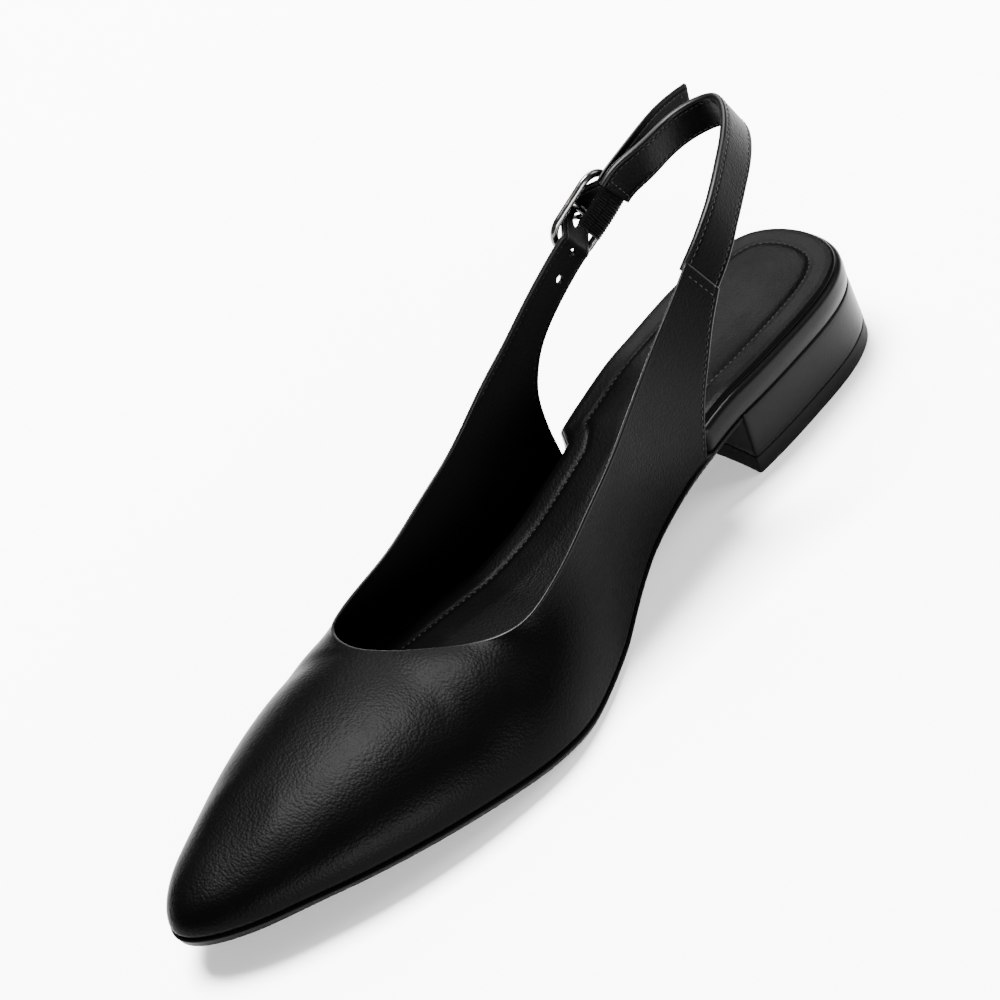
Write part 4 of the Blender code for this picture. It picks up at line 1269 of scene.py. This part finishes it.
def build_board():
    """Leather wrapped band round the board, and the padded sock."""
    def low_inset(x, y):
        return covered(x, y) * (WALL + 4 * FIT)

    def high_inset(x, y):
        return covered(x, y) * (WALL + 4 * FIT + BOARD_TAPER)
    rings = []
    section = [*BAND_FOOT]
    section += [(inset, 1.0, -drop) for inset, drop in quarter(BAND_ROUND, 7)]
    section.append((BAND_ROUND + 1.2 * MM, 1.0, 0.0))
    for inset, share, lift in section:
        plan = closed_ring(inset_outline(
            lambda x, y: low_inset(x, y) * (1 - share) + high_inset(x, y) * share + inset),
            BOARD_POINTS)
        z = feather(plan[:, 0]) + board_height(plan[:, 0]) * share + lift
        rings.append(np.column_stack([plan, z]))
    stacked("board_wrap", rings, WRAP, "leather", "insole_board")

    def sock_inset(x, y):
        return high_inset(x, y) + SOCK_INSET
    edge = inset_outline(sock_inset)
    rings = []
    for inset, lift in ((0.5 * MM, FIT * 0.3), (0.0, FIT), (0.0, FIT + SOCK_THICKNESS - SOCK_ROUND),
                        (SOCK_ROUND * 0.13, FIT + SOCK_THICKNESS - SOCK_ROUND * 0.5),
                        (SOCK_ROUND * 0.5, FIT + SOCK_THICKNESS - SOCK_ROUND * 0.13),
                        (SOCK_ROUND, FIT + SOCK_THICKNESS)):
        plan = closed_ring(inset_outline(lambda x, y: sock_inset(x, y) + inset), BOARD_POINTS)
        z = feather(plan[:, 0]) + board_height(plan[:, 0]) + lift
        rings.append(np.column_stack([plan, z]))
    border = edge[::4]

    def padded(fill):
        x = fill[..., 0]
        flat = fill[..., :2].reshape(-1, 1, 2)
        away = np.min(np.linalg.norm(flat - border[None], axis=2), axis=1).reshape(x.shape)
        groove = SOCK_GROOVE_DEPTH * np.exp(-((away - SOCK_STITCH) / SOCK_GROOVE_WIDTH) ** 2)
        pillow = PILLOW_RISE * np.clip((away - SOCK_STITCH) / PILLOW_REACH, 0, 1) ** 0.6
        rim = SOCK_RIM_RISE * np.clip(away / SOCK_RIM_REACH, 0, 1) ** 0.7
        fill[..., 2] = feather(x) + board_height(x) + FIT + SOCK_THICKNESS + rim + pillow - groove
        return fill
    sock = stacked("sock_pad", rings, SOCK_LEATHER, "sock_leather", "insole_sock",
                   across=CAP_STEPS, shape=padded)
    line = closed_ring(inset_outline(lambda x, y: sock_inset(x, y) + SOCK_STITCH), BOARD_POINTS)
    z = feather(line[:, 0]) + board_height(line[:, 0]) + FIT + SOCK_THICKNESS
    path = np.column_stack([line, z, 0 * z, 0 * z, 0 * z + 1])
    path = np.vstack([path, path[:1]])
    shown = path[:, 0] < SOCK_STITCH_END * SOLE_LENGTH
    split = int(np.argmin(shown))
    other = len(shown) - int(np.argmin(shown[::-1]))
    stitches("sock_stitches", [path[:split], path[other:]], raised=SOCK_THREAD_RAISED)


def heel_plan(flare, z):
    """Plan curve of the heel at a height, from the back round to the breast."""
    inner, outer = split_sides(inset_outline(-flare))
    share = np.linspace(0, 1, BREAST_POINTS)
    x = breast(share, z)
    y = width_at(inner, x) * (1 - share) + width_at(outer, x) * share
    inner = inner[inner[:, 0] < breast(0, z)]
    outer = outer[outer[:, 0] < breast(1, z)]
    loop = np.vstack([inner, np.column_stack([x, y]), outer[::-1]])
    run = lengths(loop)
    ring = sample(loop, np.linspace(0, run[-1], HEEL_POINTS, endpoint=False), run)
    for _ in range(3):
        ring = (np.roll(ring, 1, axis=0) + ring + np.roll(ring, -1, axis=0)) / 3
    return ring


def inset_ring(ring, amount):
    """A plan ring moved inwards."""
    run = unit(np.roll(ring, -1, axis=0) - np.roll(ring, 1, axis=0))
    inward = np.column_stack([run[:, 1], -run[:, 0]])
    return ring + inward * amount


def build_heel():
    """Leather covered block, and the rubber piece under it."""
    joint = TOP_PIECE_HEIGHT + FIT
    edge = quarter(BLOCK_ROUND, 5)
    rings = []
    levels = [(inset, 0.0, lift) for inset, lift in edge[::-1]]
    levels += [(0.0, share, 0.0) for share in np.linspace(0.15, 0.85, 6)]
    levels += [(inset, 1.0, -drop) for inset, drop in edge]
    levels.append((BLOCK_ROUND + 1.5 * MM, 1.0, 0.0))
    for inset, share, lift in levels:
        z_mid = joint + (SEAT_HEIGHT - joint) * share
        plan = inset_ring(heel_plan(HEEL_FLARE * (1 - share), z_mid), inset)
        top = feather(plan[:, 0]) - BLOCK_SUNK
        z = joint - BLOCK_LAP + (top - joint + BLOCK_LAP) * share + lift
        rings.append(np.column_stack([plan, z]))
    stacked("heel_wrap", rings, WRAP, "leather", "heel_block", low="flat", high="flat")
    rings = []
    edge = quarter(LIFT_ROUND, 5)
    levels = edge[::-1] + [(inset, TOP_PIECE_HEIGHT - drop) for inset, drop in edge]
    for inset, z in levels:
        plan = inset_ring(heel_plan(HEEL_FLARE, z), inset)
        rings.append(np.column_stack([plan, np.full(len(plan), z)]))
    stacked("heel_lift", rings, SOLE_RUBBER, "sole_rubber", "top_piece", low="flat", high="flat")


def build_outsole():
    """Thin rubber sole: beveled side, smooth waist and a ribbed tread."""
    def plan(bevel, inset):
        curve = inset_outline(lambda x, y: sole_bevel(x) * bevel + inset)
        inner, outer = split_sides(curve)
        back = breast(0.0, SEAT_HEIGHT - OUTSOLE_THICKNESS) + FIT
        share = np.linspace(1, 0, BREAST_POINTS)
        x = breast(share, SEAT_HEIGHT - OUTSOLE_THICKNESS) + FIT
        y = width_at(inner, x) * (1 - share) + width_at(outer, x) * share
        front = np.column_stack([x, y])
        half = BREAST_POINTS // 2
        loop = np.vstack([front[half:], inner[inner[:, 0] > back],
                          outer[outer[:, 0] > back][::-1], front[:half]])
        run = lengths(loop)
        return sample(loop, np.linspace(0, run[-1], SOLE_POINTS, endpoint=False), run)
    rings = []
    for bevel, inset, lift in SOLE_SECTION:
        ring = plan(bevel, inset)
        rings.append(np.column_stack([ring, feather(ring[:, 0]) + lift]))
    border = inset_outline(lambda x, y: sole_bevel(x) + TREAD_RIM)
    inner, outer = split_sides(border)

    def tread(fill):
        x, y = fill[..., 0], fill[..., 1]
        inner_y = width_at(inner, x)
        outer_y = width_at(outer, x)
        back = TREAD_BACK * SOLE_LENGTH + TREAD_SLANT * (y - outer_y)
        into = np.minimum(np.minimum(inner_y - y, y - outer_y), x - back)
        inside = np.clip(into / TREAD_EDGE, 0, 1)
        lines = 0.5 - 0.5 * np.cos(2 * np.pi * (inner_y - y) / TREAD_PITCH)
        fill[..., 2] += inside * (TREAD_DEPTH - TREAD_RIDGE * lines)
        return fill
    stacked("sole_shell", rings, SOLE_RUBBER, "sole_rubber", "outsole", across=CAP_STEPS,
            shape_low=tread)


# Place, light and camera

def build_stage():
    """Pale flat floor and soft studio lights."""
    mat = new_material("studio_floor", FLOOR_COLOR, 0.7, specular=0.1)[0]
    mesh = bpy.data.meshes.new("floor")
    corners = ((-1, -1), (1, -1), (1, 1), (-1, 1))
    mesh.from_pydata([(x * FLOOR_REACH, y * FLOOR_REACH, 0) for x, y in corners], [],
                     [(0, 1, 2, 3)])
    floor = bpy.data.objects.new("floor", mesh)
    bpy.context.scene.collection.objects.link(floor)
    mesh.materials.append(mat)
    world = bpy.data.worlds.new("studio")
    bpy.context.scene.world = world
    world.use_nodes = True
    sky = world.node_tree.nodes["Background"]
    sky.inputs["Color"].default_value = SKY_COLOR
    sky.inputs["Strength"].default_value = SKY_STRENGTH
    for name, where, aim, size, power in LIGHTS:
        lamp = bpy.data.lights.new(name, "AREA")
        lamp.shape = "RECTANGLE"
        lamp.size, lamp.size_y = size
        lamp.energy = power
        obj = bpy.data.objects.new(name, lamp)
        obj.location = where
        obj.rotation_euler = (Vector(aim) - Vector(where)).to_track_quat("-Z", "Y").to_euler()
        bpy.context.scene.collection.objects.link(obj)


FLOOR_COLOR = (0.93, 0.93, 0.93)
FLOOR_REACH = 6.0
SKY_COLOR = (0.96, 0.98, 1.0, 1.0)
SKY_STRENGTH = 0.38

# name, place, aim, size, power in watts
LIGHTS = (
    ("soft_key", (-0.08, -0.58, 1.98), (0.08, 0.0, 0.0), (1.0, 0.85), 430.0),
    ("soft_back", (-0.95, -1.05, 1.15), (0.0, 0.0, 0.05), (0.7, 0.7), 45.0),
    ("soft_heel", (-1.2, 0.7, 1.1), (0.0, 0.0, 0.05), (0.8, 0.8), 26.0),
    ("soft_side", (0.75, 1.7, 0.35), (0.15, 0.0, 0.0), (1.0, 0.5), 120.0),
)

# Camera: place, and the ways to the picture's right, down and into the picture
CAMERA_PLACE = (0.427171, 0.510560, 0.522289)
CAMERA_RIGHT = (-0.57857, 0.76609, -0.27992)
CAMERA_DOWN = (0.66996, 0.25064, -0.69880)
CAMERA_INTO = (-0.46519, -0.59185, -0.65827)
FOCAL_PX = 2186.24
SHOE_MIDDLE_PX = (-185.3, -38.6)
CAMERA_ROLL = 0.0051
FRAME_PX = 718.0
SENSOR_MM = 36


def build_camera():
    """Camera at the photo's place and roll, turned to frame the one shoe."""
    right, down, into = (Vector(v).normalized() for v in (CAMERA_RIGHT, CAMERA_DOWN, CAMERA_INTO))
    aim = (into * FOCAL_PX + right * SHOE_MIDDLE_PX[0] + down * SHOE_MIDDLE_PX[1]).normalized()
    turn = into.rotation_difference(aim)
    right = turn @ right
    down = turn @ down
    right, down = right - down * CAMERA_ROLL, down + right * CAMERA_ROLL
    camera = bpy.data.cameras.new("camera")
    camera.sensor_width = SENSOR_MM
    camera.lens = SENSOR_MM * FOCAL_PX / FRAME_PX
    camera.clip_start = 0.05
    obj = bpy.data.objects.new("camera", camera)
    back = -aim
    up = -down
    obj.matrix_world = Matrix(((right.x, up.x, back.x, CAMERA_PLACE[0]),
                               (right.y, up.y, back.y, CAMERA_PLACE[1]),
                               (right.z, up.z, back.z, CAMERA_PLACE[2]), (0, 0, 0, 1)))
    bpy.context.scene.collection.objects.link(obj)
    bpy.context.scene.camera = obj


build_camera()
build_stage()
seams = build_upper()
stitches("upper_stitches", seams, both=LIP)
build_sling()
build_elastic()
build_buckle()
build_board()
build_heel()
build_outsole()
